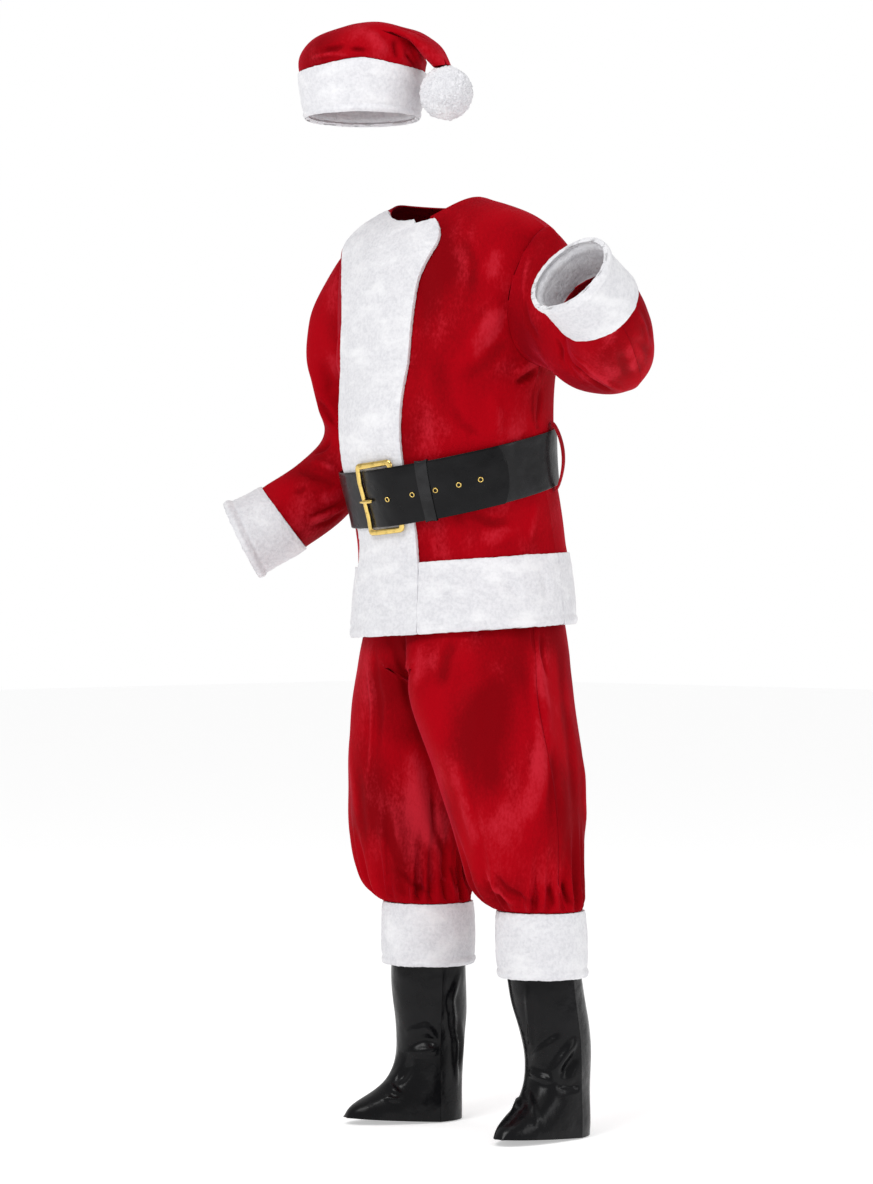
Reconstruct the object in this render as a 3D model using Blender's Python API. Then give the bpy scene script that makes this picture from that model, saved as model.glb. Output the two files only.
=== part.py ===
"""A santa suit as it is worn: hat, belted jacket, gathered trousers and boot covers.

Metres, +Z up. The wearer faces -Y and the wearer's left is +X. The origin is at the
height where the neckline meets the shoulder seams, on the wearer's middle line.
Each sewn piece is a closed wall of cloth of its own, hollow where the body would be.
"""

import math
from collections import namedtuple

import bmesh
import bpy
from mathutils import Vector

# --- Driving sizes -----------------------------------------------------------------

SEAM_GAP = 0.0004          # space that stays open between two sewn edges
VELOUR = 0.0022            # red velour wall
PLUSH = 0.0068             # white plush wall, pile included
LEATHERETTE = 0.0024       # belt and boot cover wall
LAY = 0.0005               # space under a piece that lies on another

HEM_BAND_HEIGHT = 0.113
HEM_MEAN = -0.571          # mean height of the seam above the hem bands
HEM_TILT = 0.0115          # the hem rises by this at HEM_HIGH_SIDE
HEM_HIGH_SIDE = 130.0
CHEST_HEIGHT = -0.27       # level of the bottom of the armholes

BELT_WIDTH = 0.088
BELT_HEIGHT = -0.476       # middle of the belt at the buckle
BELT_RISE_BACK = 0.237     # rise of the belt for each metre towards the back
BELT_RISE_LEFT = 0.086     # rise of the belt for each metre towards the wearer's left
BELT_FRONT = -0.158

BUCKLE_WIDTH = 0.082
BUCKLE_HEIGHT = 0.113
BUCKLE_BAR = 0.0095
BUCKLE_THICK = 0.0042
BUCKLE_CORNER = 0.008
BUCKLE_REACH = 0.190       # distance from the body's middle line at which it bends

ARMHOLE_MID = 1.39         # middle of the armhole on the jacket's height scale
ARMHOLE_HALF = 0.39
ARMHOLE_SPREAD = 27.0      # degrees from the shoulder seam to the armhole's front edge
ARMHOLE_STEPS = 8
SLEEVE_HEAD_END = 0.9      # a sleeve's shape joins the armhole's up to this place along it
SLEEVE_NARROW = 0.050      # half of a sleeve's width at its seams
SLEEVE_RADIUS = 0.070      # the folds' depths are shares of this
BODY_HALF_WIDTH = 0.185

# Metres that a fold table's columns stand for: each degree round and each step along.
JACKET_PER_DEGREE, JACKET_PER_LEVEL = 0.0031, 0.31
SLEEVE_PER_DEGREE, SLEEVE_PER_ROW = 0.0012, 0.065
LEG_PER_DEGREE = 0.0020

# Columns of the plush front band, in degrees round the body. The right front runs under
# it to the fifth, the right hem band to the third, and the left front starts at the
# seventh. What lies on a panel shares its columns.
BAND_COLUMNS = (-36.0, -33.5, -25.0, -14.0, -4.0, 5.0, 12.0, 16.0)
BAND_MIDDLE, BAND_HALF = -10.0, 26.0
BAND_NECK_SPREAD = 14.0    # the band widens by this at the neckline
BAND_WAIST_DRAW = 6.0      # its right edge draws in by this from the belt to the hem band
BAND_HEM_DRAW = 8.0        # and by this from there to the lower edge

TROUSER_MIDDLE = 0.010     # x of the plane between the legs
SOFT_SPACE = 0.006         # how softly the thighs press on that plane
CROTCH_HEIGHT = -0.765
RISE_TOP = -0.665          # the centre seams turn under the body from here down
OUTSEAM = 82.0
LEG_FOLD_SHIFT = 20.0      # the right leg's folds sit this many degrees further round
LEG_SEAM_SPACE = 0.13      # half the space at a leg seam, in degrees
GATHERS = 20               # gathers round each trouser leg above its cuff
GATHER_DEPTH = 0.0056
GATHER_SPAN = (-0.970, -1.085)      # the gathers grow from the first height to the second
GATHER_PRESS = (-1.095, -1.120)     # and are pressed together between these two

HAT_CENTRE = (-0.0605, -0.1365)
HAT_SEAM = 0.200
HAT_TAPER = 0.012          # the band draws in by this towards its lower edge
HAT_PEAK = 0.012           # the band is higher by this over the forehead
FOREHEAD = -58.0
HAT_BAND_HEIGHT = 0.072
HAT_RADIUS = 0.0990
POMPOM_RADIUS = 0.0425

# --- Tables ------------------------------------------------------------------------

Section = namedtuple("Section", "z a b x y")
Yoke = namedtuple("Yoke", "level a b y side front back")
Arm = namedtuple("Arm", "s over_x over_y over_z under_x under_y under_z half")
Leg = namedtuple("Leg", "z x y rx ry")
Boot = namedtuple("Boot", "h front back side x y")
HatRing = namedtuple("HatRing", "s out_f out_z in_f in_z depth")
Fold = namedtuple("Fold", "u v turn length width depth")

# Inside of the jacket below the chest: half width, half depth and centre
TORSO = (
    Section(-0.700, 0.1930, 0.1610, 0.002, 0.029),
    Section(-0.635, 0.1890, 0.1570, 0.001, 0.029),
    Section(-0.575, 0.1815, 0.1520, 0.001, 0.0285),
    Section(-0.539, 0.1795, 0.1505, 0.000, 0.0245),
    Section(-0.507, 0.1790, 0.1508, 0.000, 0.0185),
    Section(-0.475, 0.1800, 0.1525, 0.000, 0.0095),
    Section(-0.440, 0.1815, 0.1540, 0.000, -0.001),
    Section(-0.347, 0.1850, 0.1560, 0.000, -0.010),
    Section(-0.305, 0.1900, 0.1500, 0.000, -0.008),
    Section(-0.270, 0.2000, 0.1430, 0.000, -0.006),
)

# Rings of the jacket from the chest, level 1, to the neckline, level 2
YOKE = (
    Yoke(1.00, 0.2000, 0.1430, -0.006, -0.270, -0.270, -0.270),
    Yoke(1.15, 0.2045, 0.1410, -0.005, -0.235, -0.233, -0.228),
    Yoke(1.30, 0.2085, 0.1380, -0.004, -0.195, -0.195, -0.188),
    Yoke(1.50, 0.2125, 0.1320, -0.003, -0.143, -0.146, -0.133),
    Yoke(1.65, 0.2145, 0.1240, -0.003, -0.098, -0.109, -0.091),
    Yoke(1.78, 0.2110, 0.1120, -0.005, -0.055, -0.079, -0.055),
    Yoke(1.86, 0.1770, 0.1010, -0.009, -0.031, -0.061, -0.031),
    Yoke(1.93, 0.1290, 0.0880, -0.015, -0.014, -0.050, -0.015),
    Yoke(2.00, 0.0850, 0.0750, -0.020, 0.000, -0.043, -0.004),
)

# Each sleeve and cuff as rings, s 0 at the armhole to 6 at the cuff's mouth: the ring's
# ends on the line over the arm and on the line under it, and its half width between
LEFT_ARM = (
    Arm(0, 0.2110, -0.005, -0.055, 0.2000, -0.006, -0.270, 0.066),
    Arm(0.25, 0.2230, -0.006, -0.056, 0.2130, -0.006, -0.2695, 0.067),
    Arm(1, 0.2720, -0.012, -0.116, 0.2580, 0.000, -0.288, 0.076),
    Arm(2, 0.3340, -0.034, -0.154, 0.3080, 0.000, -0.314, 0.074),
    Arm(3, 0.3467, -0.065, -0.190, 0.3970, 0.008, -0.309, 0.069),
    Arm(4, 0.3570, -0.076, -0.187, 0.4560, -0.073, -0.262, 0.065),
    Arm(5, 0.3675, -0.102, -0.166, 0.4750, -0.120, -0.227, 0.062),
    Arm(6, 0.3660, -0.158, -0.129, 0.4720, -0.192, -0.169, 0.060),
)
RIGHT_ARM = (
    Arm(0, -0.2110, -0.005, -0.055, -0.2000, -0.006, -0.270, 0.066),
    Arm(0.25, -0.2200, -0.005, -0.056, -0.2085, -0.005, -0.2695, 0.067),
    Arm(1, -0.2660, 0.008, -0.122, -0.2120, 0.006, -0.288, 0.076),
    Arm(2, -0.2890, 0.028, -0.232, -0.2135, 0.022, -0.318, 0.077),
    Arm(3, -0.2990, 0.022, -0.345, -0.2110, 0.044, -0.385, 0.070),
    Arm(4, -0.2920, -0.048, -0.406, -0.2440, 0.040, -0.467, 0.060),
    Arm(5, -0.3330, -0.102, -0.453, -0.3110, -0.028, -0.545, 0.060),
    Arm(6, -0.3920, -0.135, -0.485, -0.3560, -0.099, -0.593, 0.060),
)
CUFF_START = 5.0
CUFF_END = 6.0

# Inside of the trousers from the waist to just above the legs' parting
HIPS = (
    Section(-0.790, 0.1900, 0.1560, 0.010, 0.018),
    Section(-0.720, 0.1830, 0.1540, 0.008, 0.024),
    Section(-0.698, 0.1770, 0.1500, 0.006, 0.027),
    Section(-0.660, 0.1680, 0.1400, 0.004, 0.029),
    Section(-0.600, 0.1620, 0.1330, 0.002, 0.029),
    Section(-0.500, 0.1560, 0.1280, 0.000, 0.020),
)
LEFT_LEG = (
    Leg(-1.120, 0.180, 0.020, 0.0665, 0.0665),
    Leg(-1.100, 0.166, 0.013, 0.0800, 0.0820),
    Leg(-1.075, 0.154, 0.009, 0.0900, 0.0960),
    Leg(-1.043, 0.155, 0.008, 0.0930, 0.0990),
    Leg(-0.949, 0.142, 0.000, 0.1080, 0.1220),
    Leg(-0.918, 0.141, -0.002, 0.1080, 0.1240),
    Leg(-0.855, 0.1195, -0.005, 0.1130, 0.1370),
    Leg(-0.790, 0.0995, -0.005, 0.1170, 0.1460),
    Leg(-0.700, 0.0850, 0.014, 0.1030, 0.1340),
)
RIGHT_LEG = (
    Leg(-1.120, -0.066, 0.016, 0.0700, 0.0700),
    Leg(-1.104, -0.084, 0.017, 0.0810, 0.0830),
    Leg(-1.085, -0.097, 0.019, 0.0870, 0.0900),
    Leg(-1.055, -0.107, 0.020, 0.0940, 0.0990),
    Leg(-0.958, -0.102, 0.025, 0.1045, 0.1225),
    Leg(-0.926, -0.100, 0.028, 0.1055, 0.1285),
    Leg(-0.861, -0.090, 0.030, 0.1095, 0.1355),
    Leg(-0.797, -0.079, 0.032, 0.1130, 0.1400),
    Leg(-0.700, -0.072, 0.030, 0.1000, 0.1340),
)
TROUSER_LEVELS = (
    -0.505, -0.620, -0.680, -0.715, -0.742, -0.765, -0.810, -0.890, -0.970, -1.040,
    -1.080, -1.103, -1.120,
)
TROUSER_CUFF_LEFT = (
    Leg(-1.224, 0.182, 0.022, 0.0660, 0.0660),
    Leg(-1.172, 0.181, 0.021, 0.0668, 0.0668),
    Leg(-1.120, 0.180, 0.020, 0.0665, 0.0665),
)
TROUSER_CUFF_RIGHT = (
    Leg(-1.221, -0.066, 0.017, 0.0700, 0.0700),
    Leg(-1.170, -0.066, 0.016, 0.0706, 0.0706),
    Leg(-1.120, -0.066, 0.016, 0.0700, 0.0700),
)

# Boot covers by height above their bottom edge: reach to the toe, to the heel and to
# each side of the ankle, and the ankle's drift
BOOT_ROWS = (
    Boot(0.000, 0.147, 0.058, 0.050, 0.000, 0.000),
    Boot(0.018, 0.140, 0.058, 0.051, 0.000, 0.000),
    Boot(0.036, 0.112, 0.057, 0.051, 0.000, 0.000),
    Boot(0.060, 0.074, 0.058, 0.050, 0.000, 0.000),
    Boot(0.090, 0.054, 0.060, 0.049, 0.000, 0.000),
    Boot(0.125, 0.050, 0.063, 0.050, 0.000, 0.000),
    Boot(0.160, 0.054, 0.066, 0.053, 0.200, 0.200),
    Boot(0.195, 0.060, 0.067, 0.056, 0.500, 0.500),
    Boot(0.225, 0.062, 0.065, 0.059, 0.800, 0.800),
    Boot(0.285, 0.058, 0.059, 0.059, 1.000, 1.000),
)
BOOT_BOTTOM = -1.472
BOOT_TOE_LIFT = 0.010      # the bottom edge climbs the shoe by this at the toe
BOOT_LEFT_ANKLE = (0.200, 0.036)
BOOT_RIGHT_ANKLE = (-0.066, 0.016)
BOOT_LEFT_TOP = (0.182, 0.021)
BOOT_RIGHT_TOP = (-0.066, 0.016)
TOE_OUT_LEFT = 4.5
TOE_OUT_RIGHT = -21.0

# The hat's crown as rings that fan about the fold on its left: each ring's far end and
# its end at the fold, along the way the tail falls and in height, and its half width
HAT_RINGS = (
    HatRing(0, -0.0990, 0.200, 0.0990, 0.200, 0.0990),
    HatRing(1, -0.1020, 0.217, 0.1015, 0.214, 0.1025),
    HatRing(2, -0.0900, 0.239, 0.1020, 0.226, 0.1000),
    HatRing(3, -0.0610, 0.260, 0.1005, 0.2340, 0.0880),
    HatRing(4, -0.0130, 0.2720, 0.0985, 0.2390, 0.0720),
    HatRing(5, 0.0370, 0.2755, 0.0985, 0.2420, 0.0570),
    HatRing(6, 0.0820, 0.2650, 0.1020, 0.2425, 0.0460),
    HatRing(7, 0.1230, 0.2440, 0.1080, 0.2370, 0.0370),
    HatRing(8, 0.1450, 0.2230, 0.1160, 0.2260, 0.0290),
    HatRing(9, 0.1560, 0.2080, 0.1260, 0.2110, 0.0200),
    HatRing(10, 0.1610, 0.1995, 0.1370, 0.1990, 0.0125),
)
HAT_FALL = 13.0            # the tail falls this way, in degrees round the head from +X
POMPOM = (0.0918, -0.1010, 0.1566)

# Soft folds: place, turn in degrees from level, half length, half width and depth in
# metres; a fold with a negative depth is a ridge
JACKET_FOLDS = (
    Fold(62.0, 0.93, 62.0, 0.085, 0.016, 0.0050),
    Fold(50.0, 0.78, 40.0, 0.080, 0.014, 0.0035),
    Fold(88.0, 0.72, 75.0, 0.070, 0.014, 0.0045),
    Fold(30.0, 0.47, 12.0, 0.075, 0.012, 0.0030),
    Fold(70.0, 0.45, -14.0, 0.070, 0.012, 0.0035),
    Fold(35.0, 0.12, 82.0, 0.050, 0.013, 0.0030),
    Fold(76.0, 0.10, 98.0, 0.050, 0.014, 0.0035),
    Fold(-58.0, 0.90, 118.0, 0.080, 0.016, 0.0045),
    Fold(-72.0, 0.50, 20.0, 0.070, 0.013, 0.0035),
    Fold(-66.0, 0.12, 84.0, 0.050, 0.014, 0.0030),
    Fold(128.0, 0.92, 118.0, 0.090, 0.017, 0.0050),
    Fold(150.0, 0.50, -12.0, 0.090, 0.013, 0.0035),
    Fold(176.0, 0.20, 88.0, 0.060, 0.014, 0.0030),
    Fold(205.0, 0.55, 14.0, 0.090, 0.014, 0.0035),
    Fold(232.0, 0.92, 62.0, 0.090, 0.017, 0.0050),
)
LEFT_SLEEVE_FOLDS = (
    Fold(150.0, 0.90, 70.0, 0.070, 0.012, 0.0045),
    Fold(110.0, 1.60, 60.0, 0.080, 0.013, 0.0050),
    Fold(60.0, 2.30, 78.0, 0.070, 0.012, 0.0050),
    Fold(250.0, 1.50, 110.0, 0.080, 0.013, 0.0045),
    Fold(300.0, 2.50, 96.0, 0.070, 0.012, 0.0045),
    Fold(130.0, 3.00, 20.0, 0.060, 0.011, 0.0040),
    Fold(235.0, 3.20, -16.0, 0.060, 0.011, 0.0040),
)
RIGHT_SLEEVE_FOLDS = (
    Fold(60.0, 1.20, 60.0, 0.080, 0.013, 0.0045),
    Fold(120.0, 2.60, 24.0, 0.070, 0.014, 0.0030),
    Fold(75.0, 3.55, 12.0, 0.075, 0.013, 0.0040),
    Fold(120.0, 4.05, -10.0, 0.070, 0.013, 0.0045),
    Fold(255.0, 2.60, -22.0, 0.070, 0.012, 0.0045),
    Fold(280.0, 3.60, 10.0, 0.070, 0.012, 0.0045),
)
LEG_FOLDS = (
    Fold(18.0, -0.820, 78.0, 0.110, 0.018, 0.0060),
    Fold(52.0, -0.960, 84.0, 0.110, 0.018, 0.0055),
    Fold(-30.0, -0.900, 70.0, 0.090, 0.016, 0.0050),
    Fold(100.0, -0.880, 94.0, 0.130, 0.018, 0.0055),
    Fold(140.0, -0.980, 80.0, 0.110, 0.018, 0.0055),
    Fold(200.0, -0.860, 100.0, 0.100, 0.017, 0.0055),
    Fold(240.0, -0.980, 86.0, 0.100, 0.016, 0.0050),
)

# --- Materials ---------------------------------------------------------------------


def finish(name, colour, roughness, metallic=0.0, sheen=0.0):
    """Makes a plain Principled material."""
    material = bpy.data.materials.new(name)
    material.use_nodes = True
    shader = material.node_tree.nodes["Principled BSDF"]
    shader.inputs["Base Color"].default_value = (*colour, 1.0)
    shader.inputs["Roughness"].default_value = roughness
    shader.inputs["Metallic"].default_value = metallic
    shader.inputs["Sheen Weight"].default_value = sheen
    material.diffuse_color = (*colour, 1.0)
    return material


# --- Curves and surfaces -----------------------------------------------------------


def smooth(rows, column, at):
    """Reads one column of a table at a place between its rows, on a soft curve."""
    keys = [row[0] for row in rows]
    values = [getattr(row, column) for row in rows]
    if at <= keys[0]:
        return values[0]
    if at >= keys[-1]:
        return values[-1]
    k = max(i for i in range(len(keys) - 1) if keys[i] <= at)

    def slope(i):
        low, high = max(i - 1, 0), min(i + 1, len(keys) - 1)
        return (values[high] - values[low]) / (keys[high] - keys[low])

    span = keys[k + 1] - keys[k]
    u = (at - keys[k]) / span
    bulge = u * u * (3.0 - 2.0 * u)
    start = slope(k) * span * u * (1.0 - u) ** 2
    end = slope(k + 1) * span * u * u * (u - 1.0)
    return values[k] * (1.0 - bulge) + values[k + 1] * bulge + start + end


def ramp(x, low, high):
    """Rises softly from 0 at low to 1 at high."""
    u = min(max((x - low) / (high - low), 0.0), 1.0)
    return u * u * (3.0 - 2.0 * u)


def spread(low, high, count):
    """Returns count + 1 even values from low to high."""
    return [low + (high - low) * i / count for i in range(count + 1)]


def fold_depth(folds, u, v, per_u, per_v, turn_u=360.0):
    """Returns how far the cloth is pushed in at (u, v) by a table of soft folds."""
    total = 0.0
    for fold in folds:
        du = (u - fold.u + turn_u / 2.0) % turn_u - turn_u / 2.0
        x = du * per_u
        y = (v - fold.v) * per_v
        turn = math.radians(fold.turn)
        along = x * math.cos(turn) + y * math.sin(turn)
        aside = y * math.cos(turn) - x * math.sin(turn)
        total += fold.depth * math.exp(-((along / fold.length) ** 2 + (aside / fold.width) ** 2))
    return total


def hem_line(t):
    """Height of the seam above the hem bands at angle t."""
    return HEM_MEAN + HEM_TILT * math.cos(math.radians(t - HEM_HIGH_SIDE))


def ring_point(section, t, z):
    """Point at angle t, 0 at the front and 90 at the wearer's left, of one section."""
    turn = math.radians(t)
    x = smooth(section, "x", z) + smooth(section, "a", z) * math.sin(turn)
    y = smooth(section, "y", z) - smooth(section, "b", z) * math.cos(turn)
    return Vector((x, y, z))


def yoke_point(t, v):
    """Point of the jacket above the bottom of the armholes."""
    turn = math.radians(t)
    x = smooth(YOKE, "a", v) * math.sin(turn)
    y = smooth(YOKE, "y", v) - smooth(YOKE, "b", v) * math.cos(turn)
    end = "front" if math.cos(turn) > 0.0 else "back"
    side = math.sin(turn) ** 2
    z = smooth(YOKE, "side", v) * side + smooth(YOKE, end, v) * (1.0 - side)
    return Vector((x, y, z))


def jacket_height(t, v):
    """Height of level v: -1 at the hem, 0 at the hem bands' seam and 1 at the chest."""
    seam = hem_line(t)
    if v < 0.0:
        return seam + v * HEM_BAND_HEIGHT
    return seam + v * (CHEST_HEIGHT - seam)


def jacket_level(t, z):
    """The level at which the jacket has height z below the chest."""
    seam = hem_line(t)
    if z < seam:
        return (z - seam) / HEM_BAND_HEIGHT
    return (z - seam) / (CHEST_HEIGHT - seam)


def jacket_form(t, v):
    """Inside of the jacket without folds at angle t and level v, 2 being the neckline."""
    if v > 1.0:
        return yoke_point(t, v)
    return ring_point(TORSO, t, jacket_height(t, v))


def jacket(t, v):
    """Inside of the jacket with its folds."""
    point = jacket_form(t, v)
    push = fold_depth(JACKET_FOLDS, t, v, JACKET_PER_DEGREE, JACKET_PER_LEVEL)
    away = Vector((math.sin(math.radians(t)), -math.cos(math.radians(t)), 0.0))
    return point - away * push


def armhole(theta, left, inset=0.0):
    """Point and level of the armhole's edge; theta runs 0 over the arm, 90 in front."""
    turn = math.radians(theta)
    v = ARMHOLE_MID + (ARMHOLE_HALF - inset * 2.0) * math.cos(turn)
    t = 90.0 - (ARMHOLE_SPREAD - inset * 220.0) * math.sin(turn)
    return (t if left else -t), v


def arm_line(rows, line, s):
    """Point on the line over or under the arm."""
    return Vector([smooth(rows, line + axis, s) for axis in ("_x", "_y", "_z")])


def arm(rows, left, theta, s):
    """Point of a sleeve or cuff at angle theta round the arm and place s along it."""
    over, under = arm_line(rows, "over", s), arm_line(rows, "under", s)
    middle = (over + under) * 0.5
    reach = (over - under) * 0.5
    low, high = max(s - 0.02, 0.0), min(s + 0.02, rows[-1].s)
    ahead = arm_line(rows, "over", high) + arm_line(rows, "under", high)
    ahead = ahead - arm_line(rows, "over", low) - arm_line(rows, "under", low)
    front = ahead.cross(reach).normalized() * smooth(rows, "half", s)
    if not left:
        front = -front
    turn = math.radians(theta)
    point = middle + reach * math.cos(turn) + front * math.sin(turn)
    if s < CUFF_START:
        folds = LEFT_SLEEVE_FOLDS if left else RIGHT_SLEEVE_FOLDS
        push = fold_depth(folds, theta, s, SLEEVE_PER_DEGREE, SLEEVE_PER_ROW)
        point = point.lerp(middle, push * ramp(CUFF_START - s, 0.0, 0.6) / SLEEVE_RADIUS)
    join = ramp(s, 0.0, SLEEVE_HEAD_END)
    if join < 1.0:
        start = (arm_line(rows, "over", 0.0) + arm_line(rows, "under", 0.0)) * 0.5
        inset = SEAM_GAP + VELOUR * 1.3 * (1.0 - ramp(s, 0.12, 0.35))
        point = (jacket(*armhole(theta, left, inset)) + middle - start).lerp(point, join)
    return point


def leg(rows, left, phi, z):
    """Point of a trouser leg; phi is 0 in front, 90 outside, 180 behind, -90 inside."""
    side = 1.0 if left else -1.0
    turn = math.radians(phi)
    low = Vector((
        smooth(rows, "x", z) + side * smooth(rows, "rx", z) * math.sin(turn),
        smooth(rows, "y", z) - smooth(rows, "ry", z) * math.cos(turn),
        z,
    ))
    hips = ring_point(HIPS, side * phi, z)
    if math.sin(turn) < 0.0:
        hips = Vector((TROUSER_MIDDLE, hips.y, z))
    else:
        hips.x += (TROUSER_MIDDLE - smooth(HIPS, "x", z)) * (1.0 - math.sin(turn))
    point = low.lerp(hips, ramp(z, -0.870, -0.615))
    room = side * (point.x - TROUSER_MIDDLE)
    least = SEAM_GAP * 0.5
    pressed = math.log1p(math.exp(room / SOFT_SPACE)) * SOFT_SPACE
    edge = seam_edge(z)
    apart = min(abs(phi - edge), abs(phi - 180.0 + edge)) / max(-0.9 * edge, 6.0)
    pull = (1.0 - ramp(apart, 0.0, 1.0)) * ramp(RISE_TOP - z, -0.01, 0.03)
    sewn = max(room, 0.0) * (1.0 - pull)
    joined = ramp(z, CROTCH_HEIGHT - 0.04, CROTCH_HEIGHT)
    room = least + pressed * (1.0 - joined) + sewn * joined
    point.x = TROUSER_MIDDLE + side * room
    if z >= RISE_TOP:
        return point
    away = Vector((side * math.sin(turn), -math.cos(turn), 0.0))
    shifted = phi if left else phi + LEG_FOLD_SHIFT
    push = fold_depth(LEG_FOLDS, shifted, z, LEG_PER_DEGREE, 1.0)
    from_inseam = abs(phi + 90.0) if phi < 0.0 else abs(phi - 270.0)
    return point - away * push * ramp(from_inseam, 10.0, 50.0)


def seam_edge(z):
    """Angle of the front centre seam, which curves under the body to the inseam."""
    down = (RISE_TOP - z) / (RISE_TOP - CROTCH_HEIGHT)
    return -math.degrees(math.asin(min(max(down, 0.0), 1.0)))


def gathered_leg(rows, left, phi, z):
    """A trouser leg with its gathers above the cuff."""
    point = leg(rows, left, phi, z)
    depth = GATHER_DEPTH * ramp(z, *GATHER_SPAN) * (1.0 - 0.75 * ramp(z, *GATHER_PRESS))
    side = 1.0 if left else -1.0
    away = Vector((side * math.sin(math.radians(phi)), -math.cos(math.radians(phi)), 0.0))
    return point + away * depth * math.cos(math.radians(phi) * GATHERS)


def tube_point(rows, theta, z):
    """Point of an upright tube of round sections."""
    turn = math.radians(theta)
    x = smooth(rows, "x", z) + smooth(rows, "rx", z) * math.sin(turn)
    y = smooth(rows, "y", z) - smooth(rows, "ry", z) * math.cos(turn)
    return Vector((x, y, z))


def boot(ankle, top, toe_out, theta, h):
    """Point of a boot cover; theta is 0 at the toe and h is height above its edge."""
    turn, toe = math.radians(theta), math.radians(toe_out)
    ahead = Vector((math.sin(toe), -math.cos(toe), 0.0))
    aside = Vector((math.cos(toe), math.sin(toe), 0.0))
    end = "front" if math.cos(turn) > 0.0 else "back"
    lift = BOOT_TOE_LIFT * max(math.cos(turn), 0.0) * (1.0 - ramp(h, 0.0, 0.06))
    middle = Vector((*ankle, BOOT_BOTTOM + h + lift))
    middle.x += (top[0] - ankle[0]) * smooth(BOOT_ROWS, "x", h)
    middle.y += (top[1] - ankle[1]) * smooth(BOOT_ROWS, "y", h)
    reach = smooth(BOOT_ROWS, end, h) * math.cos(turn)
    return middle + ahead * reach + aside * smooth(BOOT_ROWS, "side", h) * math.sin(turn)


def hat_peak(theta):
    """How much higher the seam over the hat's band is than its mean height."""
    aside = (theta - FOREHEAD + 180.0) % 360.0 - 180.0
    return HAT_PEAK * math.exp(-((aside / 26.0) ** 2))


def hat_band(theta, s):
    """Inside of the hat's band; s is 0 at its lower edge and 1 at the seam."""
    turn = math.radians(theta + HAT_FALL)
    radius = HAT_RADIUS - HAT_TAPER * (1.0 - s)
    low = HAT_SEAM - HAT_BAND_HEIGHT
    z = low + s * (HAT_SEAM + hat_peak(theta) - low)
    x = HAT_CENTRE[0] + radius * math.cos(turn)
    return Vector((x, HAT_CENTRE[1] + radius * math.sin(turn), z))


def hat(theta, s):
    """Point of the hat's crown; theta is 0 at the fold and s runs from brim to tip."""
    turn, fall = math.radians(theta), math.radians(HAT_FALL)
    way = Vector((math.cos(fall), math.sin(fall), 0.0))
    aside = Vector((-math.sin(fall), math.cos(fall), 0.0))
    out_f, out_z = smooth(HAT_RINGS, "out_f", s), smooth(HAT_RINGS, "out_z", s)
    in_f, in_z = smooth(HAT_RINGS, "in_f", s), smooth(HAT_RINGS, "in_z", s)
    middle = Vector((*HAT_CENTRE, 0.0)) + way * (out_f + in_f) / 2.0
    middle.z = (out_z + in_z) / 2.0 + hat_peak(theta) * (1.0 - ramp(s, 0.0, 1.4))
    reach = way * (in_f - out_f) / 2.0 + Vector((0.0, 0.0, (in_z - out_z) / 2.0))
    width = smooth(HAT_RINGS, "depth", s)
    return middle + reach * math.cos(turn) + aside * width * math.sin(turn)


def belt_height(point):
    """Height of the belt's middle above a point of the body."""
    back = BELT_RISE_BACK * (point.y - BELT_FRONT)
    return BELT_HEIGHT + back + BELT_RISE_LEFT * point.x


def belt(t, across):
    """Point of the jacket under the belt; across is -1 at its lower edge, 1 at its upper."""
    z = BELT_HEIGHT
    for _ in range(4):
        z = belt_height(ring_point(TORSO, t, z))
    return jacket_form(t, jacket_level(t, z + across * BELT_WIDTH / 2.0))


# --- Walls of cloth ----------------------------------------------------------------


def value(rule, u, v):
    """A size that is either fixed or a function of the place."""
    return rule(u, v) if callable(rule) else rule


def facing(surface, u, v, step_u, step_v):
    """Unit normal of a surface whose u runs to the left seen from outside it."""
    along_u = surface(u + step_u, v) - surface(u - step_u, v)
    along_v = surface(u, v + step_v) - surface(u, v - step_v)
    return along_u.cross(along_v).normalized()


def solid(name, vertices, faces, material, flat=False):
    """Makes one closed object with its faces outward."""
    mesh = bpy.data.meshes.new(name)
    work = bmesh.new()
    points = [work.verts.new(v) for v in vertices]
    for face in faces:
        work.faces.new([points[i] for i in face])
    bmesh.ops.recalc_face_normals(work, faces=work.faces[:])
    work.to_mesh(mesh)
    work.free()
    mesh.materials.append(material)
    if not flat:
        mesh.shade_smooth()
        mesh.set_sharp_from_angle(angle=math.radians(50.0))
    piece = bpy.data.objects.new(name, mesh)
    bpy.context.scene.collection.objects.link(piece)
    return piece


def shell(name, material, surface, across, levels, wall, lift=0.0, loop=False, mirror=False,
          step=(0.4, 0.004)):
    """Builds a wall of cloth over surface(u, v).

    across(v) gives the places across at level v, always the same number of them. The
    wall stands outward from lift over the surface. loop closes it round a tube, and
    mirror says that u runs the other way round.
    """
    outer, inner = [], []
    for v in levels:
        for u in across(v):
            point = surface(u, v)
            out = facing(surface, u, v, *step) * (-1.0 if mirror else 1.0)
            base = value(lift, u, v)
            inner.append(point + out * base)
            outer.append(point + out * (base + value(wall, u, v)))
    count, rows = len(across(levels[0])), len(levels)
    faces = []
    shift = count * rows
    last = count if loop else count - 1
    for j in range(rows - 1):
        for i in range(last):
            a, b = j * count + i, j * count + (i + 1) % count
            faces.append((a, b, b + count, a + count))
            faces.append((a + shift, a + count + shift, b + count + shift, b + shift))
    for i in range(last):
        for j in (0, rows - 1):
            a, b = j * count + i, j * count + (i + 1) % count
            faces.append((a, b, b + shift, a + shift))
    if not loop:
        for j in range(rows - 1):
            for i in (0, count - 1):
                a = j * count + i
                faces.append((a, a + count, a + count + shift, a + shift))
    return solid(name, outer + inner, faces, material)


# --- Jacket ------------------------------------------------------------------------

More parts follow.
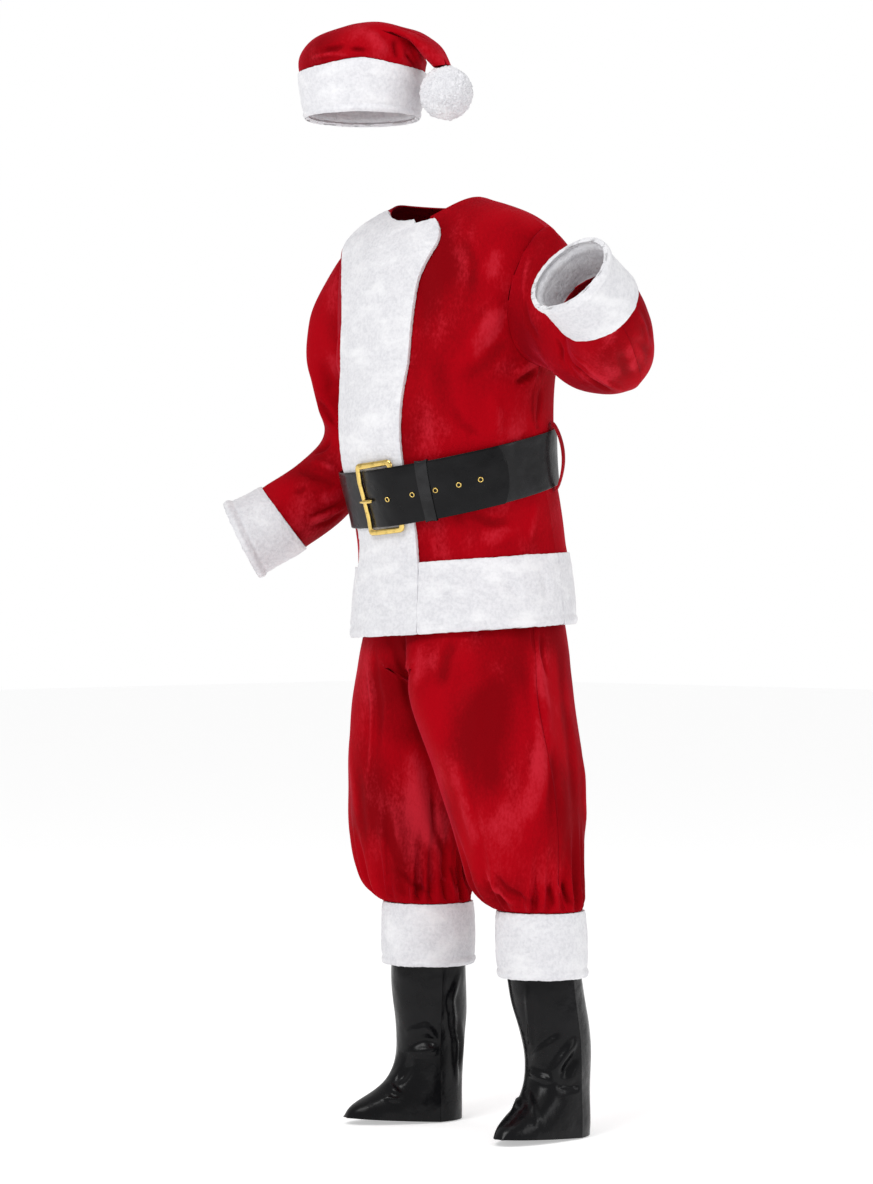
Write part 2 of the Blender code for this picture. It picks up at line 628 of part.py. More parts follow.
BODY_LEVELS = (0.09, 0.165, 0.28, 0.39, 0.50, 0.56, 0.68, 0.84, 1.0)
BAND_LEVELS = (-1.0, -0.93, -0.62, -0.31)
NECK_LEVELS = (1.86, 1.93, 2.0)


# Places along a sleeve: its head, which follows the armhole, and its cuff's rows.
SLEEVE_HEAD = (0.0, 0.1, 0.25, 0.55)
CUFF_SPACE = 0.0025        # a sleeve and its cuff stop this far either side of their seam
CUFF_ROWS = (5.06, 5.3, 5.6, 5.86, 5.96)


def armhole_levels():
    """Levels of the armhole's edge, evenly spaced round it."""
    steps = [math.cos(math.pi * k / ARMHOLE_STEPS) for k in range(1, ARMHOLE_STEPS + 1)]
    return [ARMHOLE_MID - ARMHOLE_HALF * step for step in steps]


def panel_levels(start):
    """Levels of a body panel from start to the neckline."""
    return [start, *BODY_LEVELS, *armhole_levels(), *NECK_LEVELS]


def seam_angle(v):
    """Half of a seam's space in degrees round the body."""
    around = smooth(YOKE, "a", v) if v > 1.0 else BODY_HALF_WIDTH
    return math.degrees(SEAM_GAP / 2.0 / around)


def side_seam(v, behind):
    """Angle of a body panel's edge at the side: its side seam, armhole or shoulder."""
    sign = 1.0 if behind else -1.0
    if v <= 1.0:
        return 100.0 - 10.0 * ramp(v, 0.2, 1.0) + sign * seam_angle(v)
    reach = (v - ARMHOLE_MID) / ARMHOLE_HALF
    open_by = ARMHOLE_SPREAD * math.sqrt(max(1.0 - reach * reach, 0.0))
    return 90.0 + sign * max(open_by, seam_angle(v))


def band_column(t, v):
    """A column of the front band at level v, where the band widens to the neckline."""
    sign = 1.0 if t > BAND_MIDDLE else -1.0
    drawn = BAND_WAIST_DRAW * ramp(v, 0.45, 0.0) + BAND_HEM_DRAW * ramp(v, 0.0, -1.0)
    fixed = BAND_COLUMNS[3]
    t += drawn * max(fixed - t, 0.0) / (fixed - BAND_COLUMNS[0])
    aside = min(abs(t - BAND_MIDDLE) / BAND_HALF, 1.0)
    return t + sign * BAND_NECK_SPREAD * ramp(v, 1.5, 2.0) * aside


def left_front_columns(v):
    """Columns of the left front from the band to the side."""
    inner = [band_column(t, v) for t in BAND_COLUMNS[6:]]
    return inner + spread(inner[-1], side_seam(v, False), 7)[1:]


def right_front_columns(v):
    """Columns of the right front from the side to its edge under the band."""
    inner = [band_column(t, v) for t in BAND_COLUMNS[:5]]
    return spread(-side_seam(v, False), inner[0], 6)[:-1] + inner


def back_columns(v):
    """Columns of the back from the left side to the right."""
    edge = side_seam(v, True)
    return spread(edge, 360.0 - edge, 14)


def under_belt(t, v):
    """How much the belt presses a place of the jacket, from 0 to 1."""
    if v > 1.0:
        return 0.0
    point = ring_point(TORSO, t, jacket_height(t, v))
    return 1.0 - ramp(abs(point.z - belt_height(point)), 0.060, 0.072)


def band_lift(t, v):
    """Space under the front band: the right front, then the right hem band."""
    hem_end = -band_column(BAND_COLUMNS[2], v)
    over_hem = ramp(-t, hem_end - 9.0, hem_end - 1.0) * ramp(0.10 - v, 0.0, 0.08)
    on_hem = ramp(t, 4.0, 14.0) * ramp(-v, 0.02, 0.12)
    return (VELOUR + LAY) * (1.0 - on_hem) + (PLUSH - VELOUR) * over_hem


def band_wall(t, v):
    """Thickness of the front band, thin at its free edges and under the belt."""
    right_edge = t < band_column(BAND_COLUMNS[0], v) + 0.5 and v < 1.5
    edge = 0.55 if v < -0.99 or right_edge else 1.0
    return PLUSH * edge * (1.0 - 0.45 * under_belt(t, v))


def hem_wall(t, v):
    """Thickness of a hem band, rounded at its lower edge."""
    return PLUSH * (0.55 if v < -0.99 else 1.0)


def build_jacket(velour, plush):
    """Makes the body panels, the bands, the sleeves and their cuffs."""
    seam = 0.0007
    levels = panel_levels(seam)
    shell("jacket_front_left", velour, jacket, left_front_columns, levels, VELOUR)
    shell("jacket_front_right", velour, jacket, right_front_columns, levels, VELOUR)
    shell("jacket_back", velour, jacket, back_columns, levels, VELOUR)

    def band_columns(v):
        return [band_column(t, v) for t in BAND_COLUMNS]

    whole = [*BAND_LEVELS, *panel_levels(0.0)]
    shell("front_band", plush, jacket, band_columns, whole, band_wall, band_lift)

    hem = [*BAND_LEVELS, -0.0018]
    edge = BAND_COLUMNS[-1] + 2.0 * seam_angle(0.0)
    ends = (side_seam(0.0, False), side_seam(0.0, True))

    def right_columns(v):
        under = [band_column(t, v) for t in BAND_COLUMNS[:3]]
        return spread(-ends[0], under[0], 6)[:-1] + under

    shell("hem_band_left", plush, jacket, lambda v: spread(edge, ends[0], 7), hem, hem_wall)
    shell("hem_band_right", plush, jacket, right_columns, hem, hem_wall)
    back = spread(ends[1], 360.0 - ends[1], 13)
    shell("hem_band_back", plush, jacket, lambda v: back, hem, hem_wall)

    space = math.degrees(SEAM_GAP / 2.0 / SLEEVE_NARROW)
    for side, rows in (("left", LEFT_ARM), ("right", RIGHT_ARM)):
        left = side == "left"

        def surface(theta, s, rows=rows, left=left):
            return arm(rows, left, theta, s)

        along = [*SLEEVE_HEAD, *spread(SLEEVE_HEAD_END, CUFF_START - CUFF_SPACE, 12)]
        for half, start in (("front", 0.0), ("back", 180.0)):
            columns = spread(start + space, start + 180.0 - space, ARMHOLE_STEPS)
            sleeve = shell("sleeve_%s_%s" % (side, half), velour, surface,
                           lambda s, columns=columns: columns, along, VELOUR,
                           mirror=not left, step=(1.0, 0.01))
            fit_armhole(sleeve, left, columns)
        around = spread(0.0, 360.0, 2 * ARMHOLE_STEPS)[:-1]
        shell("cuff_" + side, plush, surface, lambda s: around,
              [CUFF_START + CUFF_SPACE, *CUFF_ROWS, CUFF_END], cuff_wall,
              loop=True, mirror=not left, step=(1.0, 0.01))


def cuff_wall(theta, s):
    """Thickness of a sleeve's cuff, which ends in a fat roll."""
    if s < 5.01:
        return PLUSH * 0.75
    return PLUSH * (1.0 + 0.35 * ramp(s, 5.6, 5.86)) * (0.5 if s > 5.99 else 1.0)


def fit_armhole(sleeve, left, around):
    """Sets the sleeve's first ring into the armhole, just inside its edge."""
    points = sleeve.data.vertices
    inside = len(points) // 2
    for i, theta in enumerate(around):
        for k, inset in ((i, SEAM_GAP), (inside + i, SEAM_GAP + VELOUR)):
            t, v = armhole(theta, left, inset)
            points[k].co = jacket(t, v) + facing(jacket, t, v, 0.4, 0.004) * VELOUR / 2.0


# --- Belt --------------------------------------------------------------------------

BELT_LATTICE = 6.0         # every layer of the belt shares columns this far apart
STRAP_END = 349.4
FREE_START = -10.4
FREE_END = 72.0
KEEPER = (24.0, 30.0)
EYELETS = (6.5, 20.0, 32.5, 44.5, 56.0)
EYELET_OUTER = 0.00475
EYELET_INNER = 0.0026
BUCKLE_CENTRE = -1.0
# The prong's tip: angle round the body and half width
PRONG_ROWS = ((-4.4, 0.0020), (-6.0, 0.0030), (-11.0, 0.0026), (-13.6, 0.0014))
BAR_ROUND = 0.0022         # width of the rounding at each edge of the frame's bars
LOOP_LEFT = 112.0
LOOP_RIGHT = -112.0
LOOP_HALF_WIDTH = 2.8
LOOP_STANDS = 0.019
LOOP_FOOT = 0.0030         # space under its sewn ends
LOOP_LOW, LOOP_LENGTH = -1.18, 2.50      # in half widths of the belt
LOOP_ROWS = (0.0, 0.05, 0.15, 0.32, 0.5, 0.68, 0.85, 0.95, 1.0)


def strap_lift(t, across):
    """Space between the jacket's inside and the strap."""
    t = (t + 180.0) % 360.0 - 180.0
    return 0.0045 + 0.0034 * (1.0 - ramp(abs(t + 2.0), 36.0, 50.0))


def free_lift(t, across):
    """Space between the jacket's inside and the belt's free end, over the buckle's bar."""
    over_bar = ramp(t, -10.0, 5.0) * (1.0 - ramp(t, 12.0, 17.9))
    start = ramp(t, -10.4, -4.0)
    return strap_lift(t, across) + (LEATHERETTE + LAY) * start + 0.0054 * over_bar


def on_belt(t, across, lift):
    """Point and outward direction at a place over the belt."""
    out = facing(belt, t, across, 0.4, 0.02)
    return belt(t, across) + out * lift, out


def build_belt(leather, gold):
    """Makes the strap, its free end, the keeper, the buckle and the eyelets."""
    lattice = [*spread(BELT_LATTICE, 78.0, 12), *spread(90.0, 306.0, 18),
               *spread(312.0, 342.0, 5)]
    rows = (-1.0, -0.6, 0.0, 0.6, 1.0)
    shell("belt_strap", leather, belt, lambda v: [*lattice, STRAP_END], rows, LEATHERETTE,
          strap_lift, step=(0.4, 0.02))

    def free_columns(across):
        tip = FREE_END - 5.0 + 5.0 * math.sqrt(max(1.0 - across * across, 0.0))
        return [FREE_START, *spread(-6.0, 66.0, 12), tip]

    shell("belt_free_end", leather, belt, free_columns, rows, LEATHERETTE, free_lift,
          step=(0.4, 0.02))
    build_keeper(leather)
    build_buckle(gold)
    for number, t in enumerate(EYELETS, start=1):
        build_eyelet("eyelet_%d" % number, t, gold)


def build_keeper(leather):
    """Makes the band that holds the free end down, as a closed loop round both layers."""
    thick = 0.0016
    low = strap_lift(KEEPER[0], 0.0) - LAY
    high = free_lift(KEEPER[1], 0.0) + LEATHERETTE + LAY
    reach = 1.0 + 0.0012 / (BELT_WIDTH / 2.0)
    far = reach + thick / (BELT_WIDTH / 2.0)
    rows = (-0.6, 0.0, 0.6)

    def section(end, under, over):
        back = [(across, under) for across in rows[::-1]]
        return [(-end, under), (-end, over), *[(across, over) for across in rows],
                (end, over), (end, under), *back]

    inner = section(reach, low, high)
    outer = section(far, low - thick, high + thick)
    vertices = []
    for t in KEEPER:
        for across, lift in (*outer, *inner):
            vertices.append(on_belt(t, across, lift)[0])
    count = len(outer)
    faces = []
    for i in range(count):
        j = (i + 1) % count
        faces.append((i, j, j + 2 * count, i + 2 * count))
        faces.append((i + count, i + 3 * count, j + 3 * count, j + count))
        faces.append((i, i + count, j + count, j))
        faces.append((i + 2 * count, j + 2 * count, j + 3 * count, i + 3 * count))
    solid("belt_keeper", vertices, faces, leather, flat=True)


def frame_outline(inset):
    """Points round the buckle's frame, inset from its outer edge, with rounded corners."""
    x, z = BUCKLE_WIDTH / 2.0 - inset, BUCKLE_HEIGHT / 2.0 - inset
    radius = max(BUCKLE_CORNER - inset, BUCKLE_CORNER * 0.3)
    points = []
    for quarter, (sign_x, sign_z) in enumerate(((1, 1), (-1, 1), (-1, -1), (1, -1))):
        for step in (0.0, 0.5, 1.0):
            turn = math.radians(90.0 * (quarter + step))
            points.append((sign_x * (x - radius) + radius * math.cos(turn),
                           sign_z * (z - radius) + radius * math.sin(turn)))
        start = points[-1]
        end_x = start[0] if quarter % 2 else -start[0]
        end_z = -start[1] if quarter % 2 else start[1]
        for step in (0.2, 0.4, 0.6, 0.8):
            points.append((start[0] + (end_x - start[0]) * step,
                           start[1] + (end_z - start[1]) * step))
    return points


def build_buckle(gold):
    """Makes the frame, bent round the body, and the prong's tip on its far bar."""
    low = strap_lift(BUCKLE_CENTRE, 0.0) + LEATHERETTE + 0.0010
    high = low + BUCKLE_THICK
    profile = (
        (0.0, low), (0.0, low + BUCKLE_THICK * 0.55), (BAR_ROUND, high),
        (BUCKLE_BAR - BAR_ROUND, high), (BUCKLE_BAR, low + BUCKLE_THICK * 0.55), (BUCKLE_BAR, low),
    )
    outlines = [frame_outline(inset) for inset, _ in profile]
    around = len(outlines[0])
    vertices = []
    for k in range(around):
        for outline, (_, lift) in zip(outlines, profile):
            t = BUCKLE_CENTRE + math.degrees(outline[k][0] / BUCKLE_REACH)
            vertices.append(on_belt(t, outline[k][1] / (BELT_WIDTH / 2.0), lift)[0])
    count = len(profile)
    faces = []
    for k in range(around):
        for i in range(count):
            a, b = k * count + i, k * count + (i + 1) % count
            c, d = (k + 1) % around * count + (i + 1) % count, (k + 1) % around * count + i
            faces.append((a, b, c, d))
    solid("buckle_frame", vertices, faces, gold)

    vertices = []
    for t, half in PRONG_ROWS:
        for across, lift in ((-half, 0.0), (-half, 0.0022), (0.0, 0.0034), (half, 0.0022),
                             (half, 0.0)):
            place = across / (BELT_WIDTH / 2.0)
            vertices.append(on_belt(t, place, high + LAY + lift)[0])
    faces = [tuple(range(5)), tuple(range(15, 20))]
    for k in range(3):
        for i in range(5):
            a, b = k * 5 + i, k * 5 + (i + 1) % 5
            faces.append((a, b, b + 5, a + 5))
    solid("buckle_prong", vertices, faces, gold, flat=True)


def build_eyelet(name, t, gold):
    """Makes a flat ring with a rounded face on the free end."""
    lift = free_lift(t, 0.0) + LEATHERETTE + 0.0006
    middle, out = on_belt(t, 0.0, lift)
    up = (on_belt(t, 0.2, lift)[0] - middle).normalized()
    aside = up.cross(out).normalized()
    profile = ((EYELET_OUTER, 0.0), (EYELET_OUTER * 0.86, 0.0011), (EYELET_INNER * 1.15, 0.0011),
               (EYELET_INNER, 0.0))
    around = 10
    vertices = []
    for k in range(around):
        angle = 2.0 * math.pi * k / around
        way = aside * math.cos(angle) + up * math.sin(angle)
        vertices += [middle + way * radius + out * height for radius, height in profile]
    faces = []
    for k in range(around):
        for i in range(4):
            a, b = k * 4 + i, k * 4 + (i + 1) % 4
            c, d = (k + 1) % around * 4 + (i + 1) % 4, (k + 1) % around * 4 + i
            faces.append((a, b, c, d))
    solid(name, vertices, faces, gold)


def build_loops(velour):
    """Makes the two belt loops, which stand off the belt at the side seams."""
    for name, t in (("belt_loop_left", LOOP_LEFT), ("belt_loop_right", LOOP_RIGHT)):
        def arch(u, across):
            way = (across - LOOP_LOW) / LOOP_LENGTH
            return LOOP_FOOT + LOOP_STANDS * max(math.sin(math.pi * way), 0.0) ** 0.7

        rows = [LOOP_LOW + LOOP_LENGTH * way for way in LOOP_ROWS]
        columns = spread(t - LOOP_HALF_WIDTH, t + LOOP_HALF_WIDTH, 2)
        shell(name, velour, belt, lambda v: columns, rows, VELOUR, arch, step=(0.4, 0.02))


# --- Trousers and boot covers ------------------------------------------------------

WAISTBAND_HEIGHT = 0.040
WAISTBAND_WALL = 0.0035
CUFF_ROLL = 0.008          # height over which a trouser cuff rounds off at each edge
CUFF_BULGE = 0.050         # height of its fullest ring above its lower edge
BOOT_HEIGHTS = (0.0, 0.018, 0.038, 0.064, 0.095, 0.135, 0.180, 0.225, 0.285)
BOOT_FRONT_COLUMNS = (9.0, 25.0, 45.0, 68.0)
BOOT_SEAM_SPACE = 0.2      # half the space at a boot cover's side seam, in degrees


def trouser_columns(front):
    """Returns the columns of a trouser panel for each height."""

    def columns(z):
        edge = seam_edge(z) + LEG_SEAM_SPACE * ramp(-z, -RISE_TOP, -CROTCH_HEIGHT)
        if front:
            return spread(edge, OUTSEAM - LEG_SEAM_SPACE, GATHERS)
        return spread(OUTSEAM + LEG_SEAM_SPACE, 180.0 - edge, GATHERS)

    return columns


def build_trousers(velour, plush):
    """Makes the legs' fronts and backs, the waistband and the plush cuffs."""
    for side, rows in (("left", LEFT_LEG), ("right", RIGHT_LEG)):
        left = side == "left"

        def surface(phi, z, rows=rows, left=left):
            return gathered_leg(rows, left, phi, z)

        for half in ("front", "back"):
            shell("trouser_%s_%s" % (side, half), velour, surface,
                  trouser_columns(half == "front"), TROUSER_LEVELS[::-1], VELOUR,
                  -VELOUR, mirror=not left, step=(0.5, 0.002))

    def waist(t, z):
        return ring_point(HIPS, t, z)

    around = spread(0.0, 360.0, 20)[:-1]
    shell("trouser_waistband", velour, waist, lambda z: around,
          (TROUSER_LEVELS[0] + SEAM_GAP, TROUSER_LEVELS[0] + WAISTBAND_HEIGHT), WAISTBAND_WALL,
          -VELOUR, loop=True, step=(0.5, 0.002))

    for side, rows in (("left", TROUSER_CUFF_LEFT), ("right", TROUSER_CUFF_RIGHT)):
        low, high = rows[0].z, rows[-1].z - SEAM_GAP
        heights = (low, low + CUFF_ROLL, low + CUFF_BULGE, high - CUFF_ROLL, high)

        def cuff_wall_at(theta, z, low=low, high=high):
            edge = 0.55 if z < low + 0.001 or z > high - 0.001 else 1.0
            return VELOUR + PLUSH * edge

        shell("trouser_cuff_" + side, plush, lambda u, z, rows=rows: tube_point(rows, u, z),
              lambda z: spread(0.0, 360.0, 20)[:-1], heights, cuff_wall_at, -VELOUR, loop=True,
              step=(0.5, 0.002))


def build_boots(leather):
    """Makes each boot cover's front and back."""
    boots = (
        ("left", BOOT_LEFT_ANKLE, BOOT_LEFT_TOP, TOE_OUT_LEFT),
        ("right", BOOT_RIGHT_ANKLE, BOOT_RIGHT_TOP, TOE_OUT_RIGHT),
    )
    for side, ankle, top, toe_out in boots:
        def surface(theta, h, ankle=ankle, top=top, toe_out=toe_out):
            return boot(ankle, top, toe_out, theta, h)

        seam = 90.0 - BOOT_SEAM_SPACE
        half = (*BOOT_FRONT_COLUMNS, seam)
        front = [-t for t in half[::-1]] + list(half)
        back = spread(180.0 - seam, 180.0 + seam, 8)
        shell("boot_%s_front" % side, leather, surface, lambda h: front, BOOT_HEIGHTS,
              LEATHERETTE, -LEATHERETTE, step=(0.5, 0.002))
        shell("boot_%s_back" % side, leather, surface, lambda h: back, BOOT_HEIGHTS,
              LEATHERETTE, -LEATHERETTE, step=(0.5, 0.002))


# --- Hat ---------------------------------------------------------------------------


def build_hat(velour, plush):
    """Makes the crown with its fallen tail, the band and the pompom."""
    around = spread(0.0, 360.0, 20)[:-1]
    steps = [0.02, 0.8, 1.7, 2.7, 3.7, 4.7, 5.6, 6.4, 7.1, 7.9, 8.9, 10.0]
    shell("hat_crown", velour, hat, lambda s: around, steps, VELOUR, loop=True,
          step=(0.8, 0.02))

    def wall(theta, s):
        return PLUSH * (0.6 if s < 0.01 or s > 0.98 else 1.0)

    shell("hat_band", plush, hat_band, lambda s: around, (0.0, 0.1, 0.5, 0.9, 0.995), wall,
          loop=True, step=(0.8, 0.01))

    count, rings = 16, 9
    middle = Vector(POMPOM)
    vertices = [middle + Vector((0.0, 0.0, -POMPOM_RADIUS))]
    for j in range(1, rings):
        for i in range(count):
            rise = math.pi * j / rings
            turn = 2.0 * math.pi * (i + 0.5 * (j % 2)) / count
            radius = POMPOM_RADIUS * (1.0 + 0.03 * math.sin(5.0 * turn + 2.0 * j))
            way = Vector((math.sin(rise) * math.cos(turn), math.sin(rise) * math.sin(turn),
                          -math.cos(rise)))
            vertices.append(middle + way * radius)
    vertices.append(middle + Vector((0.0, 0.0, POMPOM_RADIUS)))
    faces = []
    for i in range(count):
        k = (i + 1) % count
        faces.append((0, 1 + i, 1 + k))
        top = 1 + (rings - 2) * count
        faces.append((len(vertices) - 1, top + k, top + i))
        for j in range(rings - 2):
            a, b = 1 + j * count + i, 1 + j * count + k
            faces.append((a, a + count, b + count, b))
    solid("hat_pompom", vertices, faces, plush)


def main():
    """Builds the whole suit."""
    for item in list(bpy.data.objects):
        bpy.data.objects.remove(item, do_unlink=True)
    velour = finish("red_velour", (0.38, 0.004, 0.016), 0.85, sheen=0.4)
    plush = finish("white_plush", (0.83, 0.83, 0.84), 0.95, sheen=0.3)
    leather = finish("black_leatherette", (0.016, 0.016, 0.018), 0.38)
    gold = finish("gold_metal", (0.72, 0.50, 0.16), 0.25, metallic=1.0)
    build_hat(velour, plush)
    build_jacket(velour, plush)
    build_belt(leather, gold)
    build_loops(velour)
    build_trousers(velour, plush)
    build_boots(leather)


if __name__ == "__main__":
    main()
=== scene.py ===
"""Dresses a santa suit: velour, plush trim, a leatherette belt and boot covers."""
import sys
import logging
import math
from dataclasses import dataclass, field
from enum import Enum

import bmesh
import bpy
import numpy as np
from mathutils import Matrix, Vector, noise
from mathutils.bvhtree import BVHTree
from mathutils.kdtree import KDTree


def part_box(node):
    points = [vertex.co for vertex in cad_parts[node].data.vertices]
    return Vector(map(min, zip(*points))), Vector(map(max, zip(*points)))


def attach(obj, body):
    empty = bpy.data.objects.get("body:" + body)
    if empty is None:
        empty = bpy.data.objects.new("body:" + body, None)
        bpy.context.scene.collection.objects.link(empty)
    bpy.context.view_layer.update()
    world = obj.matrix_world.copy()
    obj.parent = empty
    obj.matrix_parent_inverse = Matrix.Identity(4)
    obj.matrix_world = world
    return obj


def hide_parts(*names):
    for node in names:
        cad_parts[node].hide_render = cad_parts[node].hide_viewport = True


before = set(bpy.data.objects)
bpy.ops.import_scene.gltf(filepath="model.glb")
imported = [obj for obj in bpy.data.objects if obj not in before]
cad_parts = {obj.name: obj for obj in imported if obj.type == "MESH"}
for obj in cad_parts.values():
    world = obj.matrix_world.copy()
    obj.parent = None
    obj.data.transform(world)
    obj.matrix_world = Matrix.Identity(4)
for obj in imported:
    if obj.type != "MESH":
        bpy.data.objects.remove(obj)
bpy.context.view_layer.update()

log = logging.getLogger("santa_suit")
Point = tuple[float, float, float]

BODY = "root"
IMAGE_HEIGHT = 1184
MERGE = 1e-6

# Thicknesses of the cloths, and how often a panel is subdivided.
VELOUR_WALL = 0.0022
PLUSH_WALL = 0.0068
LEATHER_WALL = 0.0024
BOOT_WALL = 0.0016
PANEL_LEVELS = 3

# How far the plush's pile stands out, how round its edges are and how wide its tufts are.
PLUSH_FUZZ = 0.0007
PLUSH_EDGE = 0.0013
TUFT, FINE_TUFT, CLUMP = 0.0042, 0.0021, 0.017

# Two triangles are one four-sided face where they differ by less than these radians.
JOIN_FACE = 1.2
JOIN_SHAPE = 1.5

# A face is in a wall's rim where it is this narrow, as a share of the wall, and turns this
# far from its neighbours. A short tube's rolled mouth turns in smaller steps.
RIM_RATIO = 1.32
RIM_TURN = math.radians(35.0)
RIM_EDGE = math.radians(72.0)
RING_EDGE = math.radians(60.0)
RING_BEVEL = math.radians(12.0)
RING_TURN = math.radians(37.0)

# A sharper corner in a sheet's edge stays put, and a sharper edge is bevelled or kept sharp.
CORNER = math.radians(140.0)
SHEET_EDGE = math.radians(55.0)
SOLID_EDGE = math.radians(40.0)
SMOOTH_EDGE = math.radians(60.0)

# How far a crease's line is laid onto cloth, how far the crease reaches in widths, and where
# along its line it grows and fades. Its raised lip and its spread shape the trough.
LAY_REACH = 0.022
CREASE_REACH = 3.0
GROWS = (-0.05, 0.30)
FADES = (0.70, 1.05)
LIP = 0.7
SPREAD = 1.2

# The pile's random tone and its painted light: the attribute that holds both, the depth of
# crease that paints a full highlight on a ridge and full shade in a trough, how much the tone
# strays and over how many waves, and the depth of a streak of painted light.
NAP_AND_PAINTED_LIGHT = "nap_and_painted_light"
PAINTED_LIGHT_DEPTH = 0.0045
NAP_STRAY = 0.6
NAP_CELLS = 1.6
STROKE_DEPTH = 0.0010


class Side(Enum):
    """The wearer's left or right."""

    LEFT = "left"
    RIGHT = "right"


class Hold(Enum):
    """How a sheet of cloth is held."""

    HUNG = "hung"
    GATHERED = "gathered"
    LAID = "laid"
    FOLDED = "folded"
    STRETCHED = "stretched"


# --- Finishes ------------------------------------------------------------------------


class NodeKit:
    """Short calls that add nodes to one material."""

    def __init__(self, name: str) -> None:
        """Starts a material with its Principled shader.

        Args:
            name: The material's name.
        """
        self.material = bpy.data.materials.new(name)
        self.material.use_nodes = True
        self.tree = self.material.node_tree
        self.shader = self.tree.nodes["Principled BSDF"]
        self.coordinates = self.tree.nodes.new("ShaderNodeTexCoord").outputs["Object"]

    def link(self, start: bpy.types.NodeSocket, end: bpy.types.NodeSocket) -> None:
        """Joins two sockets."""
        self.tree.links.new(start, end)

    def fixed(self, **values: float | tuple) -> None:
        """Sets values on the shader's own sockets, named with _ for a space."""
        for key, value in values.items():
            self.shader.inputs[key.replace("_", " ")].default_value = value

    def stretched(self, scale: Point) -> bpy.types.NodeSocket:
        """Adds a mapping of the object coordinates.

        Args:
            scale: The scale along each axis.

        Returns:
            The scaled coordinates.
        """
        node = self.tree.nodes.new("ShaderNodeMapping")
        node.inputs["Scale"].default_value = scale
        self.link(self.coordinates, node.inputs["Vector"])
        return node.outputs["Vector"]

    def clouds(self, scale: float, detail: float = 3.0, roughness: float = 0.5,
               vector: bpy.types.NodeSocket | None = None) -> bpy.types.NodeSocket:
        """Adds a noise texture.

        Args:
            scale: Cells to a metre.
            detail: Layers of finer noise.
            roughness: Weight of the finer layers.
            vector: Coordinates, the object's own if left out.

        Returns:
            The noise's factor, about 0.5 all over.
        """
        node = self.tree.nodes.new("ShaderNodeTexNoise")
        node.inputs["Scale"].default_value = scale
        node.inputs["Detail"].default_value = detail
        node.inputs["Roughness"].default_value = roughness
        self.link(vector or self.coordinates, node.inputs["Vector"])
        return node.outputs["Fac"]

    def spread(self, factor: bpy.types.NodeSocket, low: float, high: float,
               to_low: float = 0.0, to_high: float = 1.0) -> bpy.types.NodeSocket:
        """Maps a factor softly from one range to another.

        Args:
            factor: The factor.
            low: Where its own range starts.
            high: Where its own range ends.
            to_low: What low becomes.
            to_high: What high becomes.

        Returns:
            The mapped factor.
        """
        node = self.tree.nodes.new("ShaderNodeMapRange")
        node.interpolation_type = "SMOOTHSTEP"
        node.inputs["From Min"].default_value = low
        node.inputs["From Max"].default_value = high
        node.inputs["To Min"].default_value = to_low
        node.inputs["To Max"].default_value = to_high
        self.link(factor, node.inputs["Value"])
        return node.outputs["Result"]

    def mix(self, factor: bpy.types.NodeSocket, first: tuple | bpy.types.NodeSocket,
            second: tuple) -> bpy.types.NodeSocket:
        """Mixes two colours.

        Args:
            factor: The share of the second colour.
            first: The first colour, or a socket that gives it.
            second: The second colour.

        Returns:
            The mixed colour.
        """
        node = self.tree.nodes.new("ShaderNodeMix")
        node.data_type = "RGBA"
        self.link(factor, node.inputs["Factor"])
        if isinstance(first, tuple):
            node.inputs[6].default_value = (*first, 1.0)
        else:
            self.link(first, node.inputs[6])
        node.inputs[7].default_value = (*second, 1.0)
        return node.outputs[2]

    def attribute(self, name: str) -> bpy.types.NodeSocket:
        """Reads a float that the mesh holds at each point.

        Args:
            name: The attribute's name.

        Returns:
            Its value.
        """
        node = self.tree.nodes.new("ShaderNodeAttribute")
        node.attribute_name = name
        return node.outputs["Fac"]

    def add(self, first: bpy.types.NodeSocket, second: bpy.types.NodeSocket,
            weight: float) -> bpy.types.NodeSocket:
        """Adds two factors.

        Args:
            first: The first factor.
            second: The second factor.
            weight: What the second one is multiplied by.

        Returns:
            The sum.
        """
        node = self.tree.nodes.new("ShaderNodeMath")
        node.operation = "MULTIPLY_ADD"
        node.inputs[1].default_value = weight
        self.link(second, node.inputs[0])
        self.link(first, node.inputs[2])
        return node.outputs[0]

    def bump(self, height: bpy.types.NodeSocket, distance: float, strength: float = 1.0) -> None:
        """Raises the surface, over any bump that is there already.

        Args:
            height: The height, as a factor.
            distance: The height of a factor of 1, in metres.
            strength: How strongly the bump shows.
        """
        node = self.tree.nodes.new("ShaderNodeBump")
        node.inputs["Distance"].default_value = distance
        node.inputs["Strength"].default_value = strength
        self.link(height, node.inputs["Height"])
        normal = self.shader.inputs["Normal"]
        if normal.is_linked:
            self.link(normal.links[0].from_socket, node.inputs["Normal"])
        self.link(node.outputs["Normal"], normal)


